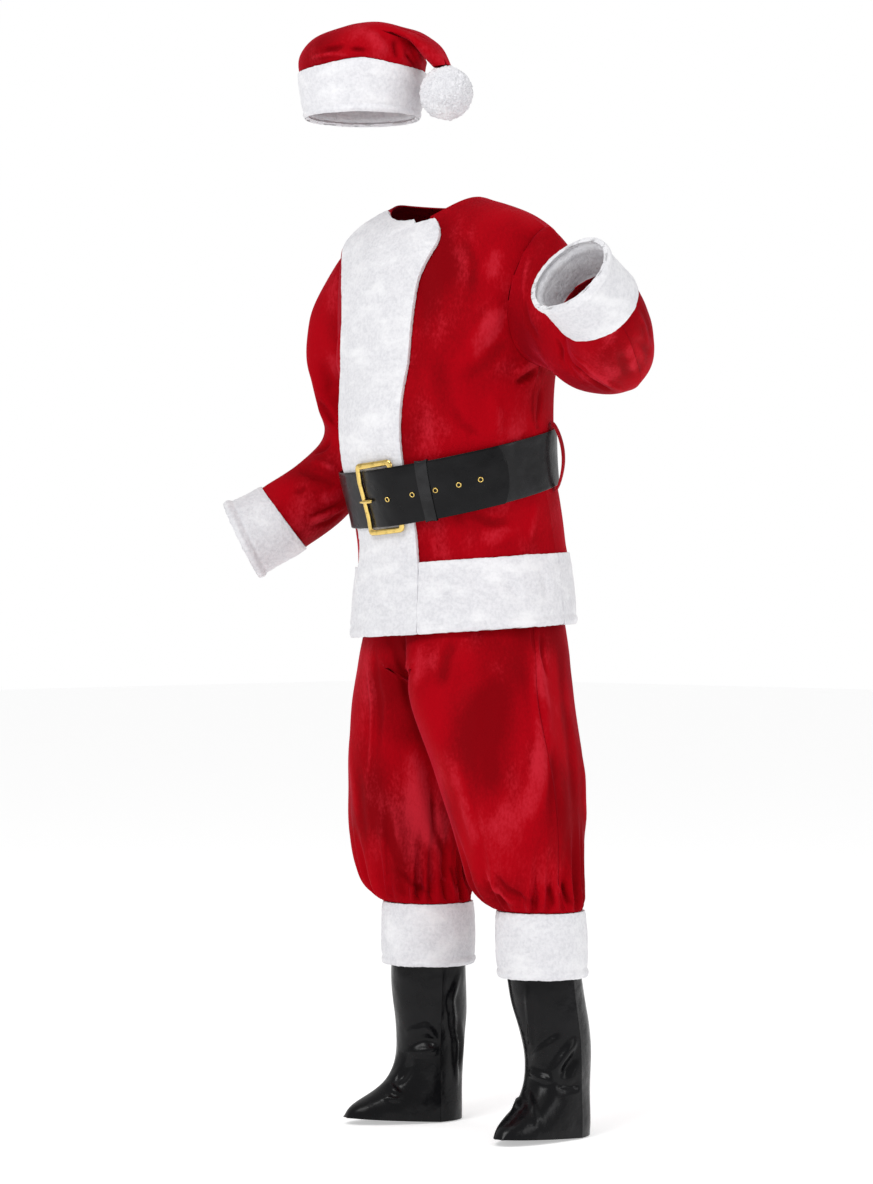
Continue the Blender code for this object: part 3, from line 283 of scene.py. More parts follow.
@dataclass(frozen=True)
class Velour:
    """Red velour: short pile with random lighter and darker patches, a painted highlight on the folds'
    ridges and painted shade in their troughs.
    """

    name: str = "red_velour"
    # The darkest red serves random patches and painted shade in the creases' troughs; the lightest
    # serves random brushed patches and a painted highlight on their ridges.
    deep_and_shaded: Point = (0.215, 0.0004, 0.0030)
    body: Point = (0.375, 0.0006, 0.0055)
    brushed_and_painted_light: Point = (0.545, 0.0200, 0.0370)

    def make(self) -> bpy.types.Material:
        """Builds the material.

        Returns:
            The material.
        """
        kit = NodeKit(self.name)
        nap_and_painted_light = kit.attribute(NAP_AND_PAINTED_LIGHT)
        pile = kit.clouds(260.0, 3.0, 0.6, kit.stretched((1.0, 1.0, 0.55)))
        patches = kit.clouds(8.0, 2.0, 0.45, kit.stretched((1.0, 1.0, 0.6)))
        strokes = kit.clouds(17.0, 2.0, 0.5, kit.stretched((1.0, 1.0, 0.5)))
        # Both masks add the painted light held on the mesh to random noise.
        dark = kit.add(kit.add(patches, nap_and_painted_light, 0.16), pile, 0.22)
        light = kit.add(kit.add(strokes, nap_and_painted_light, 0.24), pile, 0.42)
        colour = kit.mix(kit.spread(dark, 0.42, 0.74), self.deep_and_shaded, self.body)
        colour = kit.mix(kit.spread(light, 0.74, 1.12, 0.0, 0.72), colour, self.brushed_and_painted_light)
        kit.link(colour, kit.shader.inputs["Base Color"])
        kit.link(kit.spread(strokes, 0.3, 0.7, 0.80, 0.62), kit.shader.inputs["Roughness"])
        kit.fixed(Sheen_Weight=0.24, Sheen_Roughness=0.34, Specular_IOR_Level=0.03,
                  Sheen_Tint=(1.0, 0.07, 0.16, 1.0))
        kit.bump(kit.clouds(30.0, 3.0, 0.55), 0.0016, 0.35)
        kit.bump(kit.clouds(700.0, 2.0), 0.0005, 0.6)
        return kit.material


@dataclass(frozen=True)
class Plush:
    """White plush: a soft pile in small tufts, with painted shade in its hollows and a painted
    highlight on its clumps.
    """

    name: str = "white_plush"
    # Painted shade in the pile's hollows, the pile's own white, and a painted highlight on the clumps.
    hollow_shade: Point = (0.66, 0.66, 0.69)
    pile: Point = (0.76, 0.757, 0.785)
    tip_highlight: Point = (0.88, 0.88, 0.895)

    def make(self) -> bpy.types.Material:
        """Builds the material.

        Returns:
            The material.
        """
        kit = NodeKit(self.name)
        tufts = kit.clouds(190.0, 3.0, 0.6)
        clumps = kit.clouds(22.0, 4.0, 0.6, kit.stretched((1.0, 1.0, 1.6)))
        # The hollows between tufts get painted shade and the raised clumps a painted highlight.
        colour = kit.mix(kit.spread(tufts, 0.30, 0.66), self.hollow_shade, self.pile)
        colour = kit.mix(kit.spread(clumps, 0.42, 0.78, 0.0, 0.8), colour, self.tip_highlight)
        kit.link(colour, kit.shader.inputs["Base Color"])
        kit.fixed(Roughness=0.9, Sheen_Weight=0.30, Sheen_Roughness=0.5,
                  Specular_IOR_Level=0.10)
        kit.bump(clumps, 0.0050, 0.5)
        kit.bump(tufts, 0.0020, 0.5)
        kit.bump(kit.clouds(520.0, 2.0), 0.0007, 0.6)
        return kit.material


@dataclass(frozen=True)
class Leatherette:
    """Black coated cloth with a fine grain; shine is how strongly it mirrors."""

    name: str = "black_leatherette"
    black: Point = (0.0022, 0.0022, 0.0028)
    worn: Point = (0.0042, 0.0042, 0.0050)
    gloss: float = 0.25
    shine: float = 0.17

    def make(self) -> bpy.types.Material:
        """Builds the material.

        Returns:
            The material.
        """
        kit = NodeKit(self.name)
        patches = kit.clouds(24.0, 3.0, 0.55)
        grain = kit.clouds(520.0, 3.0, 0.6)
        colour = kit.mix(kit.spread(patches, 0.38, 0.68), self.black, self.worn)
        kit.link(colour, kit.shader.inputs["Base Color"])
        kit.link(kit.spread(patches, 0.3, 0.7, self.gloss + 0.07, self.gloss - 0.05),
                 kit.shader.inputs["Roughness"])
        kit.fixed(Specular_IOR_Level=self.shine)
        kit.bump(kit.clouds(15.0, 2.0, 0.5), 0.0070, 0.6)
        kit.bump(patches, 0.0030, 0.6)
        kit.bump(grain, 0.00022, 0.35)
        return kit.material


# The belt's strap and keeper are a lighter grey copy of the leatherette than its free end: a painted
# highlight on the bulging keeper, and a lighter strap that sets off the free end's edge.
LIGHTER_LEATHERETTE = Leatherette("lighter_leatherette", (0.0060, 0.0060, 0.0068),
                                 (0.0160, 0.0160, 0.0175), 0.28, 0.24)


@dataclass(frozen=True)
class GoldPlate:
    """Bright gold plating with an uneven, foil-like surface."""

    name: str = "gold_metal"
    bright: Point = (0.780, 0.560, 0.170)
    worn: Point = (0.420, 0.270, 0.070)

    def make(self) -> bpy.types.Material:
        """Builds the material.

        Returns:
            The material.
        """
        kit = NodeKit(self.name)
        spots = kit.clouds(90.0, 3.0, 0.6)
        colour = kit.mix(kit.spread(spots, 0.52, 0.75), self.bright, self.worn)
        kit.link(colour, kit.shader.inputs["Base Color"])
        kit.link(kit.spread(spots, 0.3, 0.7, 0.12, 0.26), kit.shader.inputs["Roughness"])
        kit.fixed(Metallic=1.0)
        kit.bump(kit.clouds(80.0, 2.0), 0.0022, 0.6)
        return kit.material


# --- Cloth ---------------------------------------------------------------------------


def soft_step(value: np.ndarray, low: float, high: float) -> np.ndarray:
    """Rises softly from 0 at low to 1 at high."""
    u = np.clip((value - low) / (high - low), 0.0, 1.0)
    return u * u * (3.0 - 2.0 * u)


@dataclass(frozen=True)
class Crease:
    """A soft trough along a line near the cloth, or a ridge where depth is below zero."""

    width: float
    depth: float
    line: tuple[Point, ...]
    # A streak's own painted light: a painted highlight above zero, painted shade below it, and 0 to
    # take it from the depth.
    nap_and_painted_light: float = 0.0

    def brushed_and_painted_light(self) -> float:
        """Is the crease's painted light on the pile: a streak's own lightness, else a painted highlight
        of 1 on a sharp ridge and painted shade of -1 in a trough.
        """
        return self.nap_and_painted_light or min(max(-self.depth / PAINTED_LIGHT_DEPTH, -1.0), 1.0)

    def push(self, points: np.ndarray, tree: BVHTree) -> np.ndarray:
        """Works out how far the crease moves each point.

        Args:
            points: The cloth's points, a row each.
            tree: The cloth, onto which the crease's line is laid first.

        Returns:
            The distance for each point, below zero for inwards.
        """
        moved = np.zeros(len(points))
        laid = [tree.find_nearest(Vector(p), LAY_REACH)[0] for p in self.line]
        laid = np.array([tuple(p) for p in laid if p is not None])
        if len(laid) < 2:
            return moved
        reach = CREASE_REACH * self.width
        near = np.all((points > laid.min(0) - reach) & (points < laid.max(0) + reach), axis=1)
        if not near.any():
            return moved
        chosen = points[near]
        best = np.full(len(chosen), np.inf)
        place = np.zeros(len(chosen))
        steps = np.linalg.norm(np.diff(laid, axis=0), axis=1)
        total = steps.sum()
        start = 0.0
        for first, second, length in zip(laid[:-1], laid[1:], steps):
            if length < MERGE:
                continue
            along = np.clip((chosen - first) @ (second - first) / length ** 2, 0.0, 1.0)
            away = np.linalg.norm(chosen - first - along[:, None] * (second - first), axis=1)
            closer = away < best
            best[closer] = away[closer]
            place[closer] = (start + along[closer] * length) / total
            start += length
        fade = soft_step(place, *GROWS) * (1.0 - soft_step(place, *FADES))
        x = (best / self.width) ** 2
        moved[near] = -self.depth * fade * (1.0 - LIP * x) * np.exp(-x / SPREAD)
        return moved


def creases(*rows: tuple[float | Point, ...]) -> tuple[Crease, ...]:
    """Reads creases from rows of width, depth and the points of the line."""
    return tuple(Crease(width, depth, tuple(line)) for width, depth, *line in rows)


def strokes(*rows: tuple[float | Point, ...]) -> tuple[Crease, ...]:
    """Reads streaks of painted light from rows of lightness, width and the points of the line: painted
    highlight where the lightness is above zero, painted shade where it is below.
    """
    return tuple(Crease(width, math.copysign(STROKE_DEPTH, -nap_and_painted_light), tuple(line), nap_and_painted_light)
                 for nap_and_painted_light, width, *line in rows)


@dataclass(frozen=True)
class Roll:
    """A rolled edge with a sewn line behind it, on the sheet's side that faces a way.

    The roll's middle and breadth are shares of the stitches' distance from the edge.
    """

    way: Point
    stitch: float = 0.0165
    stitch_width: float = 0.0022
    bulge: float = 0.0018
    depth: float = 0.0013
    middle: float = 0.42
    breadth: float = 0.36
    facing: float = 0.6

    def push(self, mesh: bpy.types.Mesh, points: np.ndarray) -> np.ndarray:
        """Works out how far the rolled edge moves each point.

        Args:
            mesh: The open sheet.
            points: Its points, a row each.

        Returns:
            The distance for each point.
        """
        way = Vector(self.way).normalized()
        shape = bmesh.new()
        shape.from_mesh(mesh)
        found = []
        for edge in shape.edges:
            if not edge.is_boundary:
                continue
            middle = (edge.verts[0].co + edge.verts[1].co) * 0.5
            line = (edge.verts[1].co - edge.verts[0].co).normalized()
            out = middle - edge.link_faces[0].calc_center_median()
            out -= line * out.dot(line)
            if out.normalized().dot(way) > self.facing:
                found.append(middle)
        shape.free()
        away = distance_to(found, points)
        roll = np.exp(-((away - self.stitch * self.middle) / (self.stitch * self.breadth)) ** 2)
        line = np.exp(-((away - self.stitch) / self.stitch_width) ** 2)
        return self.bulge * roll - self.depth * line


@dataclass(frozen=True)
class Gathers:
    """Uneven gathers round the foot of a trouser leg.

    They start near top, by as much as uneven higher or lower, and are deepest from full down.
    The seam presses them flatter over press_height. They stray from even spacing, in radians.
    """

    middle: tuple[float, float]
    count: int = 21
    depth: float = 0.0066
    top: float = -0.965
    full: float = -1.080
    seam: float = -1.120
    uneven: float = 0.035
    stray: float = 3.2
    sizes: tuple[float, float] = (0.15, 1.5)
    sharpness: float = 1.6
    press: float = 0.55
    press_height: float = 0.018

    def push(self, points: np.ndarray) -> np.ndarray:
        """Works out how far the gathers move each point.

        Args:
            points: The cloth's points, a row each.

        Returns:
            The distance for each point.
        """
        x, y = points[:, 0] - self.middle[0], points[:, 1] - self.middle[1]
        radius = np.hypot(x, y)
        round_leg = np.stack([x / radius, y / radius, points[:, 2] * 1.4], axis=1)
        spacing = waves(round_leg * 1.3 + 4.1, 0.55)
        size = np.clip(0.75 + 0.9 * waves(round_leg + 7.7, 0.35), *self.sizes)
        wave = np.cos(np.arctan2(y, x) * self.count + self.stray * spacing)
        reach = self.top - self.uneven * waves(round_leg + 1.9, 0.30)
        grown = np.clip((reach - points[:, 2]) / (reach - self.full), 0.0, 1.0)
        low = soft_step(-points[:, 2], -self.seam - self.press_height, -self.seam)
        pressed = 1.0 - self.press * low
        return self.depth * size * (wave - 0.25) * grown ** self.sharpness * pressed


def select_only(obj: bpy.types.Object) -> None:
    """Selects one object and makes it active.

    Args:
        obj: The object. Everything else is deselected.
    """
    bpy.ops.object.select_all(action="DESELECT")
    obj.select_set(True)
    bpy.context.view_layer.objects.active = obj


def apply_modifier(obj: bpy.types.Object, kind: str, **settings: object) -> None:
    """Adds a modifier and applies it.

    Args:
        obj: The mesh object.
        kind: The modifier's type.
        settings: The modifier's own settings.
    """
    select_only(obj)
    modifier = obj.modifiers.new(kind.title(), kind)
    for key, value in settings.items():
        setattr(modifier, key, value)
    bpy.ops.object.modifier_apply(modifier=modifier.name)


def subdivide(obj: bpy.types.Object, levels: int) -> None:
    """Smooths and subdivides a mesh, and keeps its corners."""
    if levels > 0:
        apply_modifier(obj, "SUBSURF", levels=levels, render_levels=levels,
                       boundary_smooth="PRESERVE_CORNERS")


def copy_node(node: str, name: str) -> bpy.types.Object:
    """Copies a solid as a merged mesh of four-sided faces.

    Args:
        node: The solid's name.
        name: The copy's name.

    Returns:
        The new object.
    """
    obj = bpy.data.objects.new(name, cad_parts[node].data.copy())
    obj.data.name = name
    obj.data.materials.clear()
    bpy.context.scene.collection.objects.link(obj)
    shape = bmesh.new()
    shape.from_mesh(obj.data)
    bmesh.ops.remove_doubles(shape, verts=shape.verts, dist=MERGE)
    bmesh.ops.join_triangles(shape, faces=shape.faces, angle_face_threshold=JOIN_FACE,
                             angle_shape_threshold=JOIN_SHAPE)
    shape.to_mesh(obj.data)
    shape.free()
    return obj


def is_rim(face: bmesh.types.BMFace, wall: float, ring: bool) -> bool:
    """Tells whether a face is in the rim that joins a wall's two sides.

    Args:
        face: A face of the solid.
        wall: The thickest that the wall is.
        ring: True for a short tube.

    Returns:
        True for a narrow face that turns away from its neighbours.
    """
    sizes = [loop.edge.calc_length() for loop in face.loops]
    turns = [loop.edge.calc_face_angle(0.0) for loop in face.loops]
    if not face.calc_area() / max(sizes) < wall * RIM_RATIO:
        return False
    if len(turns) != 4:
        return max(turns) > RIM_EDGE
    pairs = min(turns[0], turns[2]), min(turns[1], turns[3])
    if ring and max(turns) < RING_EDGE:
        longer = int(sizes[0] + sizes[2] < sizes[1] + sizes[3])
        return pairs[longer] > RING_BEVEL
    return max(pairs) > (RING_TURN if ring else RIM_TURN)


def largest_part(shape: bmesh.types.BMesh) -> set[bmesh.types.BMFace]:
    """Finds the largest of a mesh's separate parts.

    Args:
        shape: The mesh.

    Returns:
        The faces of the part that has the largest area.
    """
    left = set(shape.faces)
    parts = []
    while left:
        part, waiting = set(), [left.pop()]
        while waiting:
            face = waiting.pop()
            part.add(face)
            near = {f for e in face.edges for f in e.link_faces} & left
            left -= near
            waiting.extend(near)
        parts.append(part)
    return max(parts, key=lambda part: sum(f.calc_area() for f in part))


def keep_outer_face(obj: bpy.types.Object, wall: float, ring: bool = False) -> None:
    """Cuts a cloth solid down to the open sheet of its outer face.

    Args:
        obj: A merged copy of the solid.
        wall: The thickest that the solid's wall is.
        ring: True for a short tube, whose inner face looks towards its middle.
    """
    shape = bmesh.new()
    shape.from_mesh(obj.data)
    rim = [f for f in shape.faces if is_rim(f, wall, ring)]
    if ring:
        middle = sum((v.co for v in shape.verts), Vector()) / len(shape.verts)
        rim.extend(f for f in shape.faces
                   if f not in rim and f.normal.dot(f.calc_center_median() - middle) < 0.0)
    bmesh.ops.delete(shape, geom=rim, context="FACES")
    outer = largest_part(shape)
    bmesh.ops.delete(shape, geom=[f for f in shape.faces if f not in outer], context="FACES")
    ears = [f for f in shape.faces if sum(not e.is_boundary for e in f.edges) < 2]
    bmesh.ops.delete(shape, geom=ears, context="FACES")
    loose = [v for v in shape.verts if not v.link_faces]
    bmesh.ops.delete(shape, geom=loose, context="VERTS")
    shape.to_mesh(obj.data)
    shape.free()


def hold_corners(mesh: bpy.types.Mesh) -> None:
    """Keeps a sheet's corners where they are when it is subdivided.

    Args:
        mesh: The open sheet.
    """
    shape = bmesh.new()
    shape.from_mesh(mesh)
    held = [0.0] * len(mesh.vertices)
    for vert in shape.verts:
        rim = [e for e in vert.link_edges if e.is_boundary]
        if len(rim) == 2:
            first, second = (e.other_vert(vert).co - vert.co for e in rim)
            held[vert.index] = float(first.angle(second) < CORNER)
    shape.free()
    mesh.attributes.new("crease_vert", "FLOAT", "POINT").data.foreach_set("value", held)


def read_points(mesh: bpy.types.Mesh) -> tuple[np.ndarray, np.ndarray]:
    """Reads a mesh's points.

    Args:
        mesh: The mesh.

    Returns:
        The points and their normals, a row each.
    """
    points = np.empty(len(mesh.vertices) * 3)
    normals = np.empty(len(mesh.vertices) * 3)
    mesh.vertices.foreach_get("co", points)
    mesh.vertex_normals.foreach_get("vector", normals)
    return points.reshape(-1, 3), normals.reshape(-1, 3)


def write_points(mesh: bpy.types.Mesh, points: np.ndarray) -> None:
    """Writes a mesh's points back."""
    mesh.vertices.foreach_set("co", points.ravel())
    mesh.update()


def waves(points: np.ndarray, cell: float) -> np.ndarray:
    """Returns smooth noise at each point, about -1 to 1, with cells of this size."""
    return np.array([noise.noise(Vector(p) / cell) for p in points])


def distance_to(places: list[Vector], points: np.ndarray) -> np.ndarray:
    """Measures how far each point lies from the nearest of some places.

    Args:
        places: The places.
        points: The points, a row each.

    Returns:
        The distance for each point.
    """
    tree = KDTree(len(places))
    for i, place in enumerate(places):
        tree.insert(place, i)
    tree.balance()
    return np.array([tree.find(Vector(p))[2] for p in points])


def edge_distance(mesh: bpy.types.Mesh, points: np.ndarray) -> np.ndarray:
    """Measures how far each point lies from a sheet's open edge.

    Args:
        mesh: The open sheet.
        points: Its points, a row each.

    Returns:
        The distance for each point.
    """
    shape = bmesh.new()
    shape.from_mesh(mesh)
    border = [v.co.copy() for v in shape.verts if v.is_boundary]
    shape.free()
    return distance_to(border, points)


@dataclass(frozen=True)
class BeltLine:
    """The tilted line that the belt runs along round the body."""

    height: float = -0.476
    front: float = -0.158
    rise_back: float = 0.237
    rise_left: float = 0.086
    held: float = 0.047
    free: float = 0.070

    def freedom(self, points: np.ndarray) -> np.ndarray:
        """Works out how free the cloth is of the belt.

        Args:
            points: The cloth's points, a row each.

        Returns:
            0 where the belt presses the cloth, rising to 1 away from it.
        """
        line = self.height + self.rise_back * (points[:, 1] - self.front)
        line = line + self.rise_left * points[:, 0]
        return soft_step(np.abs(points[:, 2] - line), self.held, self.free)


BELT_LINE = BeltLine()


@dataclass
class ClothPiece:
    """One cut piece of cloth, made from the outer face of its solid."""

    node: str
    slot: str
    flat: tuple[float, float]
    held: Hold
    wall: float
    levels: int
    rests_on: tuple[str, ...] = ()
    solid_wall: float = 0.0
    area: float | None = None
    wave: float = 0.0010
    wave_cell: float = 0.055
    pinned: float = 0.016
    fuzz: float = 0.0
    round_edge: float = 0.0
    creases: tuple[Crease, ...] = ()
    roll: Roll | None = None
    press: BeltLine | None = None
    gathers: Gathers | None = None
    ring: bool = False

    def shape(self) -> bpy.types.Object:
        """Makes the piece's sheet, lays in its creases and gives it its thickness.

        Returns:
            The finished mesh object.
        """
        obj = copy_node(self.node, self.node + "_cloth")
        keep_outer_face(obj, self.solid_wall or self.wall, self.ring)
        hold_corners(obj.data)
        subdivide(obj, self.levels)
        mesh = obj.data
        points, normals = read_points(mesh)
        push = self.wave * waves(points, self.wave_cell)
        # The attribute holds the pile's random tone plus the creases' painted light: painted highlight
        # on ridges, painted shade in troughs.
        nap_and_painted_light = NAP_STRAY * waves(points + 2.2, self.wave_cell * NAP_CELLS)
        if self.creases:
            tree = BVHTree.FromObject(obj, bpy.context.evaluated_depsgraph_get())
            for crease in self.creases:
                moved = crease.push(points, tree)
                push += moved
                # Each crease paints a highlight on its ridge and shade in its trough.
                nap_and_painted_light += np.abs(moved / crease.depth) * crease.brushed_and_painted_light()
        shade = mesh.attributes.new(NAP_AND_PAINTED_LIGHT, "FLOAT", "POINT")
        shade.data.foreach_set("value", np.clip(nap_and_painted_light, -1.0, 1.0))
        away = edge_distance(mesh, points)
        if self.pinned > 0.0:
            push *= soft_step(away, 0.0, self.pinned)
        if self.press is not None:
            push *= self.press.freedom(points)
        if self.roll is not None:
            push += self.roll.push(mesh, points)
        if self.gathers is not None:
            push += self.gathers.push(points) * soft_step(away, 0.0, self.pinned)
        write_points(mesh, points + normals * push[:, None])
        apply_modifier(obj, "SOLIDIFY", thickness=self.wall, offset=-1.0, use_even_offset=False,
                       use_quality_normals=True)
        if self.round_edge > 0.0:
            apply_modifier(obj, "BEVEL", width=self.round_edge, segments=2, limit_method="ANGLE",
                           angle_limit=SHEET_EDGE, harden_normals=False)
        if self.fuzz > 0.0:
            self.raise_pile(obj.data)
        return obj

    def raise_pile(self, mesh: bpy.types.Mesh) -> None:
        """Breaks the surface up into small uneven tufts.

        Args:
            mesh: The piece's mesh.
        """
        points, normals = read_points(mesh)
        tufts = waves(points, TUFT) + 0.6 * waves(points + 3.7, FINE_TUFT)
        clumps = waves(points + 9.1, CLUMP)
        push = self.fuzz * (tufts + 0.8 * clumps)
        write_points(mesh, points + normals * push[:, None])

    def dress(self, material: bpy.types.Material) -> bpy.types.Object:
        """Args:
            material: The finish.

        Returns:
            The finished mesh object.
        """
        obj = self.shape()
        obj.data.materials.append(material)
        select_only(obj)
        if self.round_edge > 0.0 or self.fuzz > 0.0:
            bpy.ops.object.shade_smooth()
        else:
            bpy.ops.object.shade_smooth_by_angle(angle=SMOOTH_EDGE)
        settle(obj, self.slot, self.node)
        half_area = sum(p.area for p in obj.data.polygons) * 0.5
        log.info("%s: %d faces, %.3f m2 of cloth, cut %.3f m2", obj.name,
                 len(obj.data.polygons), half_area, self.flat[0] * self.flat[1])
        return obj


def plush_piece(node: str, flat: tuple[float, float], roll: Roll, held: Hold = Hold.HUNG,
                **more: object) -> ClothPiece:
    """Sets out a piece of thick white plush with a rolled edge, from a cloth piece's fields."""
    return ClothPiece(node, "white_plush", flat, held, PLUSH_WALL, PANEL_LEVELS, pinned=0.0,
                      fuzz=PLUSH_FUZZ, round_edge=PLUSH_EDGE, roll=roll, **more)


def settle(obj: bpy.types.Object, slot: str, *nodes: str) -> None:
    """Attaches a finished piece to the body and hides the solids that it stands for.

    Args:
        obj: The piece.
        slot: The name of its finish; not used.
        nodes: The solids that it stands for.
    """
    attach(obj, BODY)
    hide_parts(*nodes)


@dataclass
class SolidPiece:
    """A small piece with its solid's own form, rounded and smoothed."""

    node: str
    slot: str
    levels: int = 0
    bevel: float = 0.0
    segments: int = 2

    def dress(self, material: bpy.types.Material) -> bpy.types.Object:
        """Args:
            material: The finish.

        Returns:
            The finished mesh object.
        """
        obj = copy_node(self.node, self.node + "_dressed")
        if self.bevel > 0.0:
            apply_modifier(obj, "BEVEL", width=self.bevel, segments=self.segments,
                           limit_method="ANGLE", angle_limit=SOLID_EDGE)
        subdivide(obj, self.levels)
        obj.data.materials.append(material)
        select_only(obj)
        bpy.ops.object.shade_smooth_by_angle(angle=SMOOTH_EDGE)
        settle(obj, self.slot, self.node)
        log.info("%s: %d faces", obj.name, len(obj.data.polygons))
        return obj


@dataclass(frozen=True)
class Finishes:
    """The suit's materials."""

    velour: bpy.types.Material
    plush: bpy.types.Material
    leather: bpy.types.Material
    strap: bpy.types.Material
    gold: bpy.types.Material


# --- Creases, read in metres along the cloth -------------------------------------------

BODY_CREASES = creases(
    (0.0055, 0.0087, (0.205, 0.005, -0.272), (0.197, -0.018, -0.283), (0.188, -0.046, -0.299)),
    (0.0070, -0.0043, (0.203, 0.000, -0.262), (0.200, -0.021, -0.268), (0.188, -0.049, -0.284)),
    (0.0060, 0.0043, (0.196, 0.010, -0.300), (0.192, 0.012, -0.335), (0.188, 0.006, -0.370)),
    (0.0200, -0.0043, (0.190, -0.055, -0.180), (0.172, -0.085, -0.210), (0.143, -0.109, -0.250)),
    (0.0160, 0.0043, (0.188, -0.062, -0.229), (0.164, -0.090, -0.266), (0.138, -0.113, -0.291)),
    (0.0060, 0.0051, (0.189, 0.020, -0.362), (0.185, 0.000, -0.369), (0.181, -0.032, -0.385)),
    (0.0120, -0.0041, (0.166, -0.075, -0.312), (0.173, -0.069, -0.343), (0.170, -0.070, -0.383)),
    (0.0100, 0.0036, (0.126, -0.123, -0.331), (0.138, -0.113, -0.362), (0.158, -0.089, -0.380)),
    (0.0110, 0.0036, (0.120, -0.094, -0.062), (0.148, -0.096, -0.111), (0.146, -0.103, -0.164)),
    (0.0045, -0.0032, (0.073, -0.116, -0.531), (0.076, -0.112, -0.553), (0.079, -0.110, -0.574)),
    (0.0100, 0.0043, (0.129, -0.091, -0.498), (0.152, -0.061, -0.516), (0.173, -0.019, -0.513)),
    (0.0090, -0.0035, (0.182, 0.008, -0.478), (0.179, 0.006, -0.509), (0.176, -0.004, -0.544)),
    (0.0080, 0.0065, (-0.195, -0.020, -0.290), (-0.182, -0.065, -0.312), (-0.155, -0.100, -0.335)),
    (0.0100, 0.0051, (-0.188, 0.000, -0.395), (-0.168, -0.060, -0.385), (-0.140, -0.100, -0.380)),
    (0.0170, -0.0038, (-0.120, -0.110, -0.190), (-0.148, -0.100, -0.235), (-0.170, -0.085, -0.275)),
    (0.0090, 0.0043, (-0.150, -0.085, -0.540), (-0.165, -0.060, -0.520), (-0.176, -0.020, -0.505)),
    (0.0130, 0.0061, (-0.105, 0.128, -0.368), (-0.030, 0.150, -0.380), (0.055, 0.148, -0.368)),
    (0.0110, -0.0038, (-0.080, 0.134, -0.345), (0.000, 0.146, -0.352), (0.090, 0.132, -0.340)),
    (0.0150, 0.0058, (0.185, 0.060, -0.215), (0.145, 0.105, -0.255), (0.085, 0.130, -0.300)),
    (0.0120, 0.0051, (-0.180, 0.060, -0.225), (-0.140, 0.105, -0.260), (-0.090, 0.128, -0.290)),
    (0.0160, -0.0043, (0.100, 0.105, -0.120), (0.115, 0.115, -0.180), (0.105, 0.125, -0.235)),
    (0.0100, 0.0049, (0.085, 0.150, -0.470), (0.088, 0.158, -0.515), (0.080, 0.160, -0.556)),
    (0.0080, 0.0043, (-0.070, 0.155, -0.480), (-0.064, 0.162, -0.520), (-0.074, 0.160, -0.560)),
    (0.0110, -0.0036, (0.010, 0.165, -0.485), (0.004, 0.172, -0.530), (0.012, 0.176, -0.570)),
)
# Streaks of painted highlight along the ridges, and of painted shade where the lightness is below zero.
BODY_PAINTED_STREAKS = strokes(
    (1.0, 0.0240, (0.188, -0.055, -0.180), (0.176, -0.081, -0.214),
     (0.153, -0.101, -0.257), (0.133, -0.116, -0.281)),
    (1.0, 0.0180, (0.173, -0.019, -0.510), (0.159, -0.050, -0.532), (0.134, -0.077, -0.541)),
    (0.8, 0.0160, (0.177, -0.073, -0.086), (0.174, -0.079, -0.111), (0.166, -0.088, -0.139)),
    (-0.8, 0.0120, (0.115, -0.121, -0.433), (0.116, -0.108, -0.479), (0.118, -0.092, -0.529)),
    (-0.7, 0.0200, (0.090, -0.135, -0.246), (0.109, -0.132, -0.293), (0.126, -0.122, -0.356)),
    (0.9, 0.0260, (0.120, 0.110, -0.130), (0.060, 0.135, -0.220), (0.020, 0.145, -0.310)),
    (-0.8, 0.0220, (-0.120, 0.110, -0.150), (-0.100, 0.130, -0.240), (-0.110, 0.125, -0.330)),
    (0.9, 0.0200, (-0.120, 0.150, -0.480), (-0.060, 0.168, -0.520), (0.000, 0.172, -0.510)),
)
BAND_CREASES = creases(
    (0.0090, 0.0059, (0.078, -0.116, -0.581), (0.094, -0.112, -0.606), (0.110, -0.106, -0.638)),
    (0.0070, -0.0036, (0.099, -0.109, -0.606), (0.112, -0.104, -0.625), (0.130, -0.095, -0.650)),
    (0.0050, 0.0036, (0.030, -0.132, -0.541), (0.029, -0.131, -0.572), (0.031, -0.132, -0.600)),
    (0.0070, 0.0025, (-0.040, -0.135, -0.635), (-0.010, -0.138, -0.644), (0.021, -0.137, -0.641)),
    (0.0110, 0.0031, (0.163, -0.054, -0.591), (0.179, -0.034, -0.619), (0.183, -0.030, -0.644)),
    (0.0100, 0.0028, (0.188, 0.010, -0.584), (0.194, 0.022, -0.613), (0.196, 0.016, -0.641)),
    (0.0100, 0.0042, (0.090, 0.170, -0.590), (0.096, 0.176, -0.620), (0.090, 0.176, -0.650)),
    (0.0120, 0.0036, (-0.060, 0.180, -0.590), (-0.070, 0.182, -0.625), (-0.064, 0.180, -0.655)),
    (0.0090, 0.0034, (-0.150, -0.080, -0.590), (-0.158, -0.076, -0.620), (-0.152, -0.080, -0.650)),
)
